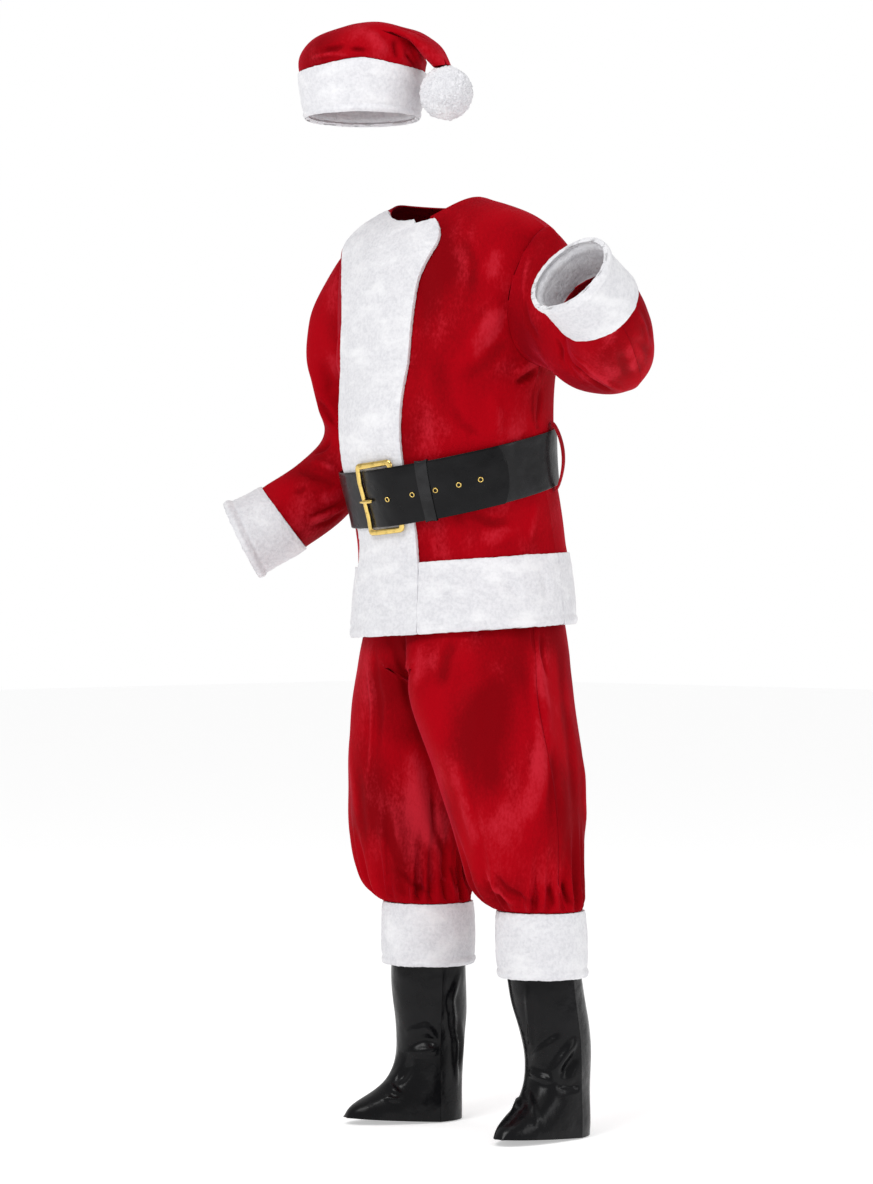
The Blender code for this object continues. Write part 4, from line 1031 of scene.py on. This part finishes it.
SLEEVE_CREASES = {
    Side.LEFT: creases(
        (0.0055, 0.0095, (0.332, -0.085, -0.262), (0.366, -0.091, -0.288),
         (0.376, -0.067, -0.308), (0.378, -0.033, -0.317)),
        (0.0050, -0.0040, (0.369, -0.116, -0.259), (0.391, -0.105, -0.283),
         (0.395, -0.069, -0.305), (0.387, -0.010, -0.318)),
        (0.0080, 0.0034, (0.440, -0.100, -0.215), (0.471, -0.091, -0.245), (0.437, -0.008, -0.263)),
        (0.0045, 0.0032, (0.482, -0.090, -0.198), (0.470, -0.054, -0.219), (0.440, -0.007, -0.248)),
        (0.0040, -0.0026, (0.484, -0.101, -0.202), (0.476, -0.072, -0.223), (0.450, -0.028, -0.253)),
        (0.0100, 0.0034, (0.452, -0.101, -0.265), (0.436, -0.070, -0.284), (0.414, -0.028, -0.302)),
        (0.0050, 0.0042, (0.315, -0.089, -0.237), (0.324, -0.088, -0.255), (0.320, -0.081, -0.276)),
        (0.0070, 0.0030, (0.233, -0.073, -0.173), (0.244, -0.076, -0.208), (0.273, -0.080, -0.237)),
        (0.0060, -0.0024, (0.221, -0.047, -0.094), (0.226, -0.066, -0.138), (0.234, -0.074, -0.179)),
        (0.0100, 0.0042, (0.245, 0.066, -0.165), (0.290, 0.070, -0.192), (0.335, 0.055, -0.212)),
        (0.0090, 0.0045, (0.355, 0.060, -0.302), (0.405, 0.058, -0.284), (0.436, 0.036, -0.250)),
        (0.0110, -0.0030, (0.300, 0.072, -0.262), (0.345, 0.074, -0.248), (0.388, 0.060, -0.226)),
    ),
    Side.RIGHT: creases(
        (0.0090, 0.0060, (-0.269, -0.042, -0.306), (-0.249, -0.038, -0.326), (-0.230, -0.029, -0.350)),
        (0.0070, 0.0045, (-0.244, -0.030, -0.372), (-0.255, -0.038, -0.385), (-0.277, -0.039, -0.393)),
        (0.0075, 0.0062, (-0.289, -0.068, -0.421), (-0.247, -0.063, -0.434), (-0.219, -0.035, -0.448)),
        (0.0080, -0.0035, (-0.274, -0.055, -0.407), (-0.243, -0.053, -0.412), (-0.221, -0.038, -0.425)),
        (0.0060, 0.0030, (-0.273, -0.092, -0.455), (-0.262, -0.084, -0.458), (-0.254, -0.075, -0.450)),
        (0.0040, -0.0042, (-0.256, -0.074, -0.507), (-0.238, -0.044, -0.496), (-0.227, -0.012, -0.481)),
        (0.0045, 0.0038, (-0.258, -0.066, -0.517), (-0.245, -0.033, -0.505), (-0.231, -0.014, -0.490)),
        (0.0040, 0.0028, (-0.255, -0.078, -0.501), (-0.237, -0.049, -0.488), (-0.223, -0.022, -0.473)),
        (0.0120, 0.0040, (-0.239, -0.057, -0.242), (-0.239, -0.043, -0.271), (-0.239, -0.029, -0.300)),
        (0.0120, 0.0042, (-0.318, 0.000, -0.250), (-0.325, 0.018, -0.290), (-0.318, 0.032, -0.330)),
        (0.0080, 0.0052, (-0.300, 0.078, -0.360), (-0.328, 0.058, -0.376), (-0.342, 0.025, -0.386)),
        (0.0090, -0.0032, (-0.290, 0.068, -0.412), (-0.325, 0.048, -0.408), (-0.345, 0.016, -0.402)),
        (0.0085, 0.0044, (-0.325, 0.012, -0.462), (-0.342, -0.028, -0.458), (-0.338, -0.060, -0.444)),
    ),
}
# Streaks of painted highlight along the ridges, and of painted shade where the lightness is below zero.
SLEEVE_PAINTED_STREAKS = {
    Side.LEFT: strokes(
        (1.0, 0.0140, (0.476, -0.093, -0.233), (0.454, -0.054, -0.263), (0.418, -0.036, -0.300)),
        (1.0, 0.0200, (0.250, 0.060, -0.130), (0.290, 0.068, -0.180), (0.340, 0.066, -0.230)),
    ),
    Side.RIGHT: strokes(
        (1.0, 0.0160, (-0.216, -0.060, -0.224), (-0.218, -0.045, -0.256), (-0.224, -0.026, -0.281)),
        (1.0, 0.0140, (-0.241, -0.064, -0.471), (-0.227, -0.045, -0.465), (-0.218, -0.027, -0.455)),
        (1.0, 0.0200, (-0.290, 0.055, -0.200), (-0.310, 0.060, -0.260), (-0.312, 0.062, -0.320)),
    ),
}
LEG_CREASES = {
    Side.LEFT: creases(
        (0.0190, -0.0042, (0.193, 0.000, -0.728), (0.222, -0.013, -0.828),
         (0.239, -0.034, -0.889), (0.222, -0.066, -0.986)),
        (0.0110, 0.0036, (0.229, -0.006, -0.852), (0.244, -0.020, -0.920), (0.245, -0.030, -0.991)),
        (0.0120, -0.0032, (0.148, -0.123, -0.928), (0.153, -0.110, -0.982), (0.155, -0.095, -1.031)),
        (0.0060, 0.0040, (0.179, 0.022, -0.682), (0.192, 0.013, -0.720), (0.201, 0.015, -0.759)),
        (0.0140, 0.0050, (0.108, -0.096, -0.687), (0.104, -0.113, -0.722), (0.110, -0.133, -0.774)),
        (0.0160, 0.0034, (0.189, -0.081, -0.789), (0.190, -0.109, -0.857), (0.200, -0.101, -0.942)),
        (0.0060, 0.0055, (0.177, -0.086, -1.055), (0.197, -0.071, -1.082), (0.223, -0.036, -1.105)),
        (0.0055, -0.0045, (0.164, -0.090, -1.046), (0.168, -0.085, -1.068),
         (0.184, -0.071, -1.092), (0.204, -0.052, -1.108)),
        (0.0050, 0.0050, (0.243, 0.002, -1.069), (0.247, 0.011, -1.094), (0.248, 0.017, -1.113)),
        (0.0045, -0.0038, (0.243, -0.012, -1.074), (0.240, 0.000, -1.093), (0.244, 0.001, -1.112)),
        (0.0050, 0.0045, (0.238, -0.025, -1.073), (0.240, -0.018, -1.095), (0.238, -0.013, -1.111)),
        (0.0050, 0.0050, (0.177, -0.077, -1.086), (0.176, -0.062, -1.106), (0.176, -0.060, -1.114)),
        (0.0120, 0.0030, (0.204, 0.053, -0.791), (0.233, 0.036, -0.884), (0.245, 0.025, -0.977)),
        (0.0160, 0.0042, (0.120, 0.125, -0.750), (0.150, 0.115, -0.820), (0.165, 0.095, -0.900)),
        (0.0160, -0.0040, (0.200, 0.072, -0.880), (0.212, 0.062, -0.950), (0.204, 0.068, -1.010)),
        (0.0080, 0.0050, (0.100, 0.090, -0.980), (0.120, 0.082, -1.040), (0.145, 0.075, -1.090)),
        (0.0065, 0.0050, (0.190, 0.075, -1.045), (0.178, 0.080, -1.080), (0.160, 0.084, -1.108)),
    ),
    Side.RIGHT: creases(
        (0.0045, -0.0030, (-0.080, -0.103, -0.699), (-0.067, -0.109, -0.794),
         (-0.077, -0.101, -0.866), (-0.090, -0.098, -0.927)),
        (0.0080, 0.0030, (-0.055, -0.112, -0.706), (-0.047, -0.110, -0.793), (-0.068, -0.096, -0.890)),
        (0.0160, -0.0048, (-0.018, -0.068, -0.865), (-0.018, -0.045, -0.954), (-0.019, -0.017, -1.048)),
        (0.0075, 0.0055, (-0.008, -0.032, -0.938), (-0.014, -0.022, -1.002), (-0.016, 0.007, -1.052)),
        (0.0100, 0.0055, (-0.010, -0.115, -0.698), (-0.004, -0.100, -0.748), (-0.006, -0.075, -0.812)),
        (0.0050, 0.0048, (-0.014, 0.009, -1.055), (-0.006, 0.018, -1.081), (-0.007, 0.035, -1.105)),
        (0.0050, -0.0042, (-0.012, -0.011, -1.064), (-0.010, 0.010, -1.090), (0.002, 0.016, -1.112)),
        (0.0100, 0.0036, (-0.060, -0.086, -0.954), (-0.063, -0.073, -1.018), (-0.046, -0.058, -1.069)),
        (0.0055, 0.0040, (-0.060, -0.063, -1.060), (-0.039, -0.051, -1.085), (-0.014, -0.027, -1.104)),
        (0.0130, 0.0032, (-0.106, -0.102, -0.891), (-0.109, -0.095, -0.971), (-0.108, -0.083, -1.036)),
        (0.0160, 0.0045, (-0.095, 0.125, -0.760), (-0.125, 0.115, -0.840), (-0.140, 0.095, -0.930)),
        (0.0140, -0.0040, (-0.060, 0.105, -0.945), (-0.072, 0.095, -1.010), (-0.086, 0.088, -1.065)),
        (0.0120, 0.0040, (-0.165, 0.030, -0.800), (-0.176, 0.012, -0.880), (-0.172, 0.020, -0.960)),
        (0.0065, 0.0050, (-0.150, 0.040, -1.040), (-0.140, 0.055, -1.075), (-0.120, 0.068, -1.106)),
    ),
}
# Streaks of painted highlight along the ridges, and of painted shade where the lightness is below zero.
LEG_PAINTED_STREAKS = {
    Side.LEFT: strokes(
        (1.0, 0.0220, (0.184, 0.014, -0.697), (0.206, -0.009, -0.774), (0.230, -0.020, -0.851),
         (0.236, -0.050, -0.927), (0.213, -0.079, -0.998)),
        (1.0, 0.0160, (0.136, -0.132, -0.882), (0.145, -0.120, -0.943), (0.150, -0.103, -1.006)),
        (0.7, 0.0160, (0.050, -0.117, -0.688), (0.058, -0.129, -0.728), (0.067, -0.142, -0.775)),
        (-1.0, 0.0140, (0.178, 0.067, -0.698), (0.205, 0.045, -0.791), (0.233, 0.021, -0.883)),
        (1.0, 0.0220, (0.120, 0.125, -0.760), (0.150, 0.112, -0.850), (0.170, 0.095, -0.940)),
    ),
    Side.RIGHT: strokes(
        (1.0, 0.0200, (-0.018, -0.068, -0.864), (-0.022, -0.055, -0.937), (-0.024, -0.039, -1.028)),
        (-1.0, 0.0140, (-0.003, -0.113, -0.698), (0.000, -0.094, -0.748),
         (-0.002, -0.070, -0.812), (-0.007, -0.043, -0.890)),
        (0.8, 0.0110, (-0.135, -0.095, -0.840), (-0.133, -0.094, -0.892), (-0.124, -0.089, -0.988)),
        (1.0, 0.0220, (-0.100, 0.125, -0.770), (-0.125, 0.112, -0.860), (-0.130, 0.095, -0.950)),
    ),
}
HAT_CREASES = creases(
    (0.0050, 0.0084, (0.000, -0.221, 0.224), (0.009, -0.212, 0.222), (0.019, -0.202, 0.219)),
    (0.0042, -0.0061, (-0.070, -0.240, 0.214), (-0.030, -0.235, 0.216), (0.001, -0.217, 0.213)),
    (0.0060, 0.0051, (-0.045, -0.238, 0.224), (-0.024, -0.233, 0.225), (-0.006, -0.224, 0.229)),
    (0.0065, 0.0074, (0.036, -0.158, 0.245), (0.040, -0.158, 0.226), (0.039, -0.153, 0.207)),
    (0.0055, -0.0057, (0.040, -0.124, 0.236), (0.040, -0.111, 0.216), (0.030, -0.090, 0.205)),
    (0.0045, 0.0054, (0.043, -0.141, 0.222), (0.041, -0.128, 0.211), (0.038, -0.114, 0.200)),
    (0.0030, 0.0027, (0.036, -0.151, 0.260), (0.050, -0.131, 0.253), (0.069, -0.118, 0.240)),
    (0.0140, -0.0041, (0.010, -0.191, 0.254), (0.027, -0.187, 0.234), (0.035, -0.176, 0.212)),
    (0.0070, 0.0061, (-0.140, -0.100, 0.225), (-0.110, -0.066, 0.238), (-0.065, -0.046, 0.240)),
    (0.0060, -0.0047, (-0.130, -0.085, 0.212), (-0.095, -0.052, 0.216), (-0.050, -0.040, 0.216)),
    (0.0060, 0.0054, (-0.020, -0.040, 0.235), (0.010, -0.050, 0.228), (0.030, -0.070, 0.222)),
)
BOOT_CREASES = {
    Side.LEFT: creases(
        (0.0051, -0.0039, (0.203, -0.035, -1.232), (0.201, -0.029, -1.279), (0.193, -0.015, -1.334)),
        (0.0074, -0.0049, (0.190, -0.018, -1.348), (0.211, -0.015, -1.332), (0.240, 0.005, -1.312)),
        (0.0081, 0.0055, (0.184, -0.013, -1.346), (0.216, -0.015, -1.321), (0.239, 0.001, -1.298)),
        (0.0081, -0.0060, (0.248, 0.036, -1.316), (0.245, 0.015, -1.332),
         (0.233, -0.002, -1.361), (0.231, -0.006, -1.382)),
        (0.0095, 0.0065, (0.250, 0.040, -1.338), (0.246, 0.017, -1.358), (0.240, 0.005, -1.379)),
        (0.0054, -0.0052, (0.187, -0.014, -1.369), (0.215, -0.014, -1.377), (0.231, -0.006, -1.382)),
        (0.0074, 0.0059, (0.236, -0.004, -1.385), (0.247, 0.016, -1.389), (0.248, 0.044, -1.390)),
        (0.0049, -0.0044, (0.195, -0.025, -1.393), (0.222, -0.042, -1.416), (0.245, -0.054, -1.451)),
        (0.0061, -0.0036, (0.197, -0.062, -1.426), (0.179, -0.030, -1.413), (0.220, -0.048, -1.419)),
        (0.0081, 0.0060, (0.190, 0.092, -1.352), (0.208, 0.098, -1.346), (0.226, 0.098, -1.352)),
        (0.0074, -0.0052, (0.186, 0.092, -1.332), (0.206, 0.098, -1.328), (0.224, 0.098, -1.336)),
        (0.0068, 0.0047, (0.150, 0.020, -1.320), (0.156, 0.045, -1.345), (0.160, 0.060, -1.380)),
    ),
    Side.RIGHT: creases(
        (0.0057, -0.0062, (-0.062, -0.035, -1.361), (-0.033, -0.021, -1.358), (-0.018, 0.006, -1.354)),
        (0.0065, -0.0047, (-0.067, -0.035, -1.331), (-0.032, -0.023, -1.319), (-0.018, 0.004, -1.344)),
        (0.0088, 0.0057, (-0.054, -0.032, -1.344), (-0.033, -0.021, -1.340), (-0.021, -0.006, -1.343)),
        (0.0049, -0.0042, (-0.075, -0.077, -1.428), (-0.061, -0.070, -1.432), (-0.051, -0.058, -1.434)),
        (0.0054, -0.0044, (-0.091, -0.054, -1.411), (-0.065, -0.062, -1.419), (-0.051, -0.057, -1.431)),
        (0.0068, -0.0055, (-0.009, 0.032, -1.233), (-0.010, 0.013, -1.277),
         (-0.015, 0.028, -1.343), (-0.017, 0.033, -1.421)),
        (0.0081, 0.0052, (-0.011, 0.023, -1.310), (-0.017, 0.045, -1.353), (-0.017, 0.036, -1.392)),
        (0.0095, 0.0047, (-0.053, -0.033, -1.373), (-0.061, -0.043, -1.395), (-0.069, -0.054, -1.411)),
        (0.0074, 0.0057, (-0.115, 0.020, -1.330), (-0.112, 0.045, -1.350), (-0.100, 0.070, -1.362)),
        (0.0068, -0.0049, (-0.114, 0.050, -1.344), (-0.088, 0.090, -1.330), (-0.050, 0.095, -1.342)),
    ),
}

# --- Sub-assemblies --------------------------------------------------------------------


@dataclass
class Jacket:
    """The body panels, the front band, the hem bands, the sleeves and the cuffs."""

    hem_roll: Roll = Roll((0.0, 0.0, -1.0))
    cuff_ways: dict[Side, Point] = field(default_factory=lambda: {
        Side.LEFT: (0.0, -0.80, 0.60), Side.RIGHT: (-0.55, -0.64, -0.54)})
    cuff_bulge: float = 0.0030

    def body(self) -> list[ClothPiece]:
        """Sets out the body panels and the bands.

        Returns:
            The pieces in the order they are sewn.
        """
        made = []
        for node, flat, area in (("jacket_front_left", (0.30, 0.62), 0.135),
                                 ("jacket_front_right", (0.34, 0.62), 0.155),
                                 ("jacket_back", (0.56, 0.64), 0.31)):
            made.append(ClothPiece(node, "red_velour", flat, Hold.HUNG, VELOUR_WALL,
                                   PANEL_LEVELS, creases=BODY_CREASES + BODY_PAINTED_STREAKS,
                                   press=BELT_LINE, area=area))
        made.append(plush_piece("front_band", (0.15, 0.70), self.hem_roll, Hold.LAID,
                                rests_on=("jacket_front_right",), wave=0.0008,
                                creases=BAND_CREASES, press=BELT_LINE))
        for node, width in (("hem_band_left", 0.30), ("hem_band_right", 0.25),
                            ("hem_band_back", 0.54)):
            made.append(plush_piece(node, (width, 0.115), self.hem_roll, creases=BAND_CREASES))
        return made

    def sleeve(self, side: Side) -> list[ClothPiece]:
        """Sets out one sleeve.

        Args:
            side: The wearer's arm.

        Returns:
            The sleeve's two halves and its cuff.
        """
        made = [ClothPiece("sleeve_%s_%s" % (side.value, half), "red_velour", (0.24, 0.43),
                           Hold.HUNG, VELOUR_WALL, PANEL_LEVELS, wave=0.0016, area=0.078,
                           pinned=0.007, creases=SLEEVE_CREASES[side] + SLEEVE_PAINTED_STREAKS[side])
                for half in ("front", "back")]
        made.append(plush_piece("cuff_" + side.value, (0.38, 0.09), ring=True,
                                roll=Roll(self.cuff_ways[side], bulge=self.cuff_bulge)))
        return made

    def build(self, finishes: Finishes) -> None:
        """Makes every piece of the jacket.

        Args:
            finishes: The suit's materials.
        """
        for piece in self.body() + self.sleeve(Side.LEFT) + self.sleeve(Side.RIGHT):
            piece.dress(finishes.velour if piece.slot == "red_velour" else finishes.plush)
        for side in Side:
            loop = SolidPiece("belt_loop_" + side.value, "red_velour", levels=2)
            loop.dress(finishes.velour)


@dataclass
class Belt:
    """The strap, its free end, the keeper, the buckle and the eyelets."""

    eyelets: int = 5
    levels: int = 2
    round_edge: float = 0.0008

    def build(self, finishes: Finishes) -> None:
        """Makes every piece of the belt.

        Args:
            finishes: The suit's materials.
        """
        for node, flat, wave, cell in (("belt_strap", (1.12, 0.088), 0.0006, 0.045),
                                       ("belt_free_end", (0.27, 0.088), 0.0007, 0.040),
                                       ("belt_keeper", (0.040, 0.096), 0.0018, 0.014)):
            piece = ClothPiece(node, "black_leatherette", flat, Hold.STRETCHED, LEATHER_WALL,
                               self.levels, wave=wave, wave_cell=cell, pinned=0.0,
                               round_edge=self.round_edge)
            # The strap and keeper take the lighter copy, whose grey is a painted highlight on the
            # keeper.
            piece.dress(finishes.leather if node == "belt_free_end" else finishes.strap)
        metal = [("buckle_frame", 0.0011, 3), ("buckle_prong", 0.0007, 3)]
        metal += [("eyelet_%d" % number, 0.0003, 2) for number in range(1, self.eyelets + 1)]
        for node, bevel, segments in metal:
            piece = SolidPiece(node, "gold_metal", bevel=bevel, segments=segments)
            piece.dress(finishes.gold)


@dataclass
class Trousers:
    """The four leg panels, the waistband and the plush cuffs."""

    leg_middles: dict[Side, tuple[float, float]] = field(default_factory=lambda: {
        Side.LEFT: (0.165, 0.015), Side.RIGHT: (-0.085, 0.010)})
    cuff_stitch: float = 0.0150
    cuff_wall: float = 0.0092
    waistband_wall: float = 0.0036

    def build(self, finishes: Finishes) -> None:
        """Makes every piece of the trousers.

        Args:
            finishes: The suit's materials.
        """
        for side in Side:
            for half, flat, area in (("front", (0.34, 0.60), 0.19), ("back", (0.36, 0.62), 0.21)):
                piece = ClothPiece("trouser_%s_%s" % (side.value, half), "red_velour", flat,
                                   Hold.GATHERED, VELOUR_WALL, PANEL_LEVELS, wave=0.0018,
                                   wave_cell=0.070, pinned=0.007, area=area,
                                   creases=LEG_CREASES[side] + LEG_PAINTED_STREAKS[side],
                                   gathers=Gathers(self.leg_middles[side]))
                piece.dress(finishes.velour)
            cuff = plush_piece("trouser_cuff_" + side.value, (0.44, 0.105),
                               Roll((0.0, 0.0, -1.0), stitch=self.cuff_stitch),
                               solid_wall=self.cuff_wall)
            cuff.dress(finishes.plush)
        waistband = ClothPiece("trouser_waistband", "red_velour", (1.00, 0.040), Hold.HUNG,
                               VELOUR_WALL, 1, solid_wall=self.waistband_wall, wave=0.0004)
        waistband.dress(finishes.velour)


@dataclass
class BootCovers:
    """The fronts and backs of the leatherette boot covers."""

    wave: float = 0.0012
    wave_cell: float = 0.050
    pinned: float = 0.013

    def build(self, finishes: Finishes) -> None:
        """Makes both boot covers.

        Args:
            finishes: The suit's materials.
        """
        for side in Side:
            for half, flat in (("front", (0.22, 0.31)), ("back", (0.19, 0.30))):
                piece = ClothPiece("boot_%s_%s" % (side.value, half), "black_leatherette",
                                   flat, Hold.HUNG, BOOT_WALL, PANEL_LEVELS, wave=self.wave,
                                   wave_cell=self.wave_cell, pinned=self.pinned,
                                   solid_wall=LEATHER_WALL, creases=BOOT_CREASES[side])
                piece.dress(finishes.leather)


@dataclass
class Hat:
    """The velour crown, the plush band and the pompom."""

    band_stitch: float = 0.012
    pompom_depth: float = 0.0034
    pompom_fill: float = 0.975
    pompom_cells: tuple[float, float, float] = (0.085, 0.042, 0.38)
    pompom_levels: int = 6

    def build(self, finishes: Finishes) -> None:
        """Makes every piece of the hat.

        Args:
            finishes: The suit's materials.
        """
        crown = ClothPiece("hat_crown", "red_velour", (0.62, 0.25), Hold.FOLDED, VELOUR_WALL,
                           PANEL_LEVELS, wave=0.0018, wave_cell=0.045, area=0.078,
                           creases=HAT_CREASES)
        crown.dress(finishes.velour)
        band = plush_piece("hat_band", (0.66, 0.075),
                           Roll((0.0, 0.0, -1.0), stitch=self.band_stitch), Hold.STRETCHED)
        band.dress(finishes.plush)
        self.build_pompom(finishes.plush)

    def build_pompom(self, plush: bpy.types.Material) -> None:
        """Makes the ball of cut yarn, uneven all over.

        Args:
            plush: The ball's finish.
        """
        low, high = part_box("hat_pompom")
        centre = (Vector(low) + Vector(high)) * 0.5
        radius = min(h - l for l, h in zip(low, high)) * 0.5
        bpy.ops.object.select_all(action="DESELECT")
        bpy.ops.mesh.primitive_ico_sphere_add(subdivisions=self.pompom_levels, radius=1.0)
        obj = bpy.context.object
        obj.name = "hat_pompom_yarn"
        points, _ = read_points(obj.data)
        coarse, fine, clump = self.pompom_cells
        tufts = waves(points, coarse) + 0.7 * waves(points + 5.3, fine)
        clumps = waves(points + 2.9, clump)
        reach = radius * self.pompom_fill + self.pompom_depth * (0.75 * tufts + 0.5 * clumps)
        write_points(obj.data, np.array(centre) + points * reach[:, None])
        obj.data.materials.append(plush)
        bpy.ops.object.shade_smooth()
        settle(obj, "white_plush", "hat_pompom")
        log.info("%s: %d faces", obj.name, len(obj.data.polygons))


# --- Camera, light and floor -----------------------------------------------------------


@dataclass(frozen=True)
class SoftLight:
    """A square light: where it stands round and above the suit, in degrees, and its power."""

    name: str
    azimuth: float
    elevation: float
    size: float
    watts: float


@dataclass(frozen=True)
class Studio:
    """A level camera in front of the wearer's left, with soft light on a pale floor."""

    turn: float = math.radians(45.0)
    distance: float = 5.5
    aside: float = -0.0216
    height: float = -0.622
    sensor: float = 24.0
    focal_pixels: float = 3437.5
    clip_end: float = 60.0
    floor: float = -1.4735
    floor_size: float = 40.0
    floor_grey: float = 0.90
    floor_glow: float = 0.46
    sky_light: float = 0.56
    light_distance: float = 4.2
    lights: tuple[SoftLight, ...] = (SoftLight("key", 12.0, 42.0, 1.5, 62.0),
                                     SoftLight("fill", 98.0, 14.0, 1.4, 17.0),
                                     SoftLight("top", 45.0, 78.0, 2.2, 14.0),
                                     SoftLight("edge", 112.0, 30.0, 0.8, 12.0))

    def place_camera(self) -> None:
        """Adds the camera."""
        data = bpy.data.cameras.new("view")
        data.sensor_fit = "VERTICAL"
        data.sensor_height = self.sensor
        data.lens = self.sensor * self.focal_pixels / IMAGE_HEIGHT
        data.clip_end = self.clip_end
        camera = bpy.data.objects.new("view", data)
        right = Vector((math.cos(self.turn), math.sin(self.turn), 0.0))
        back = Vector((math.sin(self.turn), -math.cos(self.turn), 0.0))
        camera.location = back * self.distance + right * self.aside
        camera.location.z = self.height
        camera.rotation_euler = (math.radians(90.0), 0.0, self.turn)
        bpy.context.scene.collection.objects.link(camera)
        bpy.context.scene.camera = camera

    def place_light(self, light: SoftLight) -> None:
        """Adds a light that looks at the suit.

        Args:
            light: The light's place, size and power.
        """
        data = bpy.data.lights.new(light.name, "AREA")
        data.shape = "SQUARE"
        data.size = light.size
        data.energy = light.watts
        obj = bpy.data.objects.new(light.name, data)
        turn, rise = math.radians(light.azimuth), math.radians(light.elevation)
        way = Vector((math.sin(turn) * math.cos(rise), -math.cos(turn) * math.cos(rise),
                      math.sin(rise)))
        obj.location = Vector((0.0, 0.0, self.height)) + way * self.light_distance
        obj.rotation_euler = way.to_track_quat("Z", "Y").to_euler()
        bpy.context.scene.collection.objects.link(obj)

    def place_floor(self) -> None:
        """Adds the pale floor."""
        bpy.ops.object.select_all(action="DESELECT")
        bpy.ops.mesh.primitive_plane_add(size=self.floor_size, location=(0.0, 0.0, self.floor))
        floor = bpy.context.object
        floor.name = "floor"
        pale = bpy.data.materials.new("pale_floor")
        pale.use_nodes = True
        shader = pale.node_tree.nodes["Principled BSDF"]
        shader.inputs["Base Color"].default_value = (self.floor_grey,) * 3 + (1.0,)
        shader.inputs["Emission Color"].default_value = (1.0, 1.0, 1.0, 1.0)
        shader.inputs["Emission Strength"].default_value = self.floor_glow
        shader.inputs["Roughness"].default_value = 0.9
        shader.inputs["Specular IOR Level"].default_value = 0.1
        floor.data.materials.append(pale)

    def light_sky(self) -> None:
        """Lights the suit from all round, with a white sky behind it for the camera."""
        world = bpy.data.worlds.new("studio")
        world.use_nodes = True
        nodes, links = world.node_tree.nodes, world.node_tree.links
        sky = nodes["Background"]
        sky.inputs["Strength"].default_value = self.sky_light
        seen = nodes.new("ShaderNodeBackground")
        mixed = nodes.new("ShaderNodeMixShader")
        for background in (sky, seen):
            background.inputs["Color"].default_value = (1.0, 1.0, 1.0, 1.0)
        path = nodes.new("ShaderNodeLightPath")
        links.new(path.outputs["Is Camera Ray"], mixed.inputs[0])
        links.new(sky.outputs[0], mixed.inputs[1])
        links.new(seen.outputs[0], mixed.inputs[2])
        links.new(mixed.outputs[0], nodes["World Output"].inputs["Surface"])
        bpy.context.scene.world = world

    def build(self) -> None:
        """Makes the floor, the light and the camera."""
        self.place_floor()
        self.light_sky()
        for light in self.lights:
            self.place_light(light)
        self.place_camera()
        bpy.context.scene.view_settings.view_transform = "Standard"


def main() -> None:
    """Builds the suit, sub-assembly by sub-assembly, then the studio."""
    logging.basicConfig(level=logging.INFO, format="%(message)s", stream=sys.stdout)
    finishes = Finishes(Velour().make(), Plush().make(), Leatherette().make(),
                        LIGHTER_LEATHERETTE.make(), GoldPlate().make())
    for assembly in (Hat(), Jacket(), Belt(), Trousers(), BootCovers()):
        log.info("building %s", type(assembly).__name__)
        assembly.build(finishes)
    Studio().build()


if __name__ == "__main__":
    main()
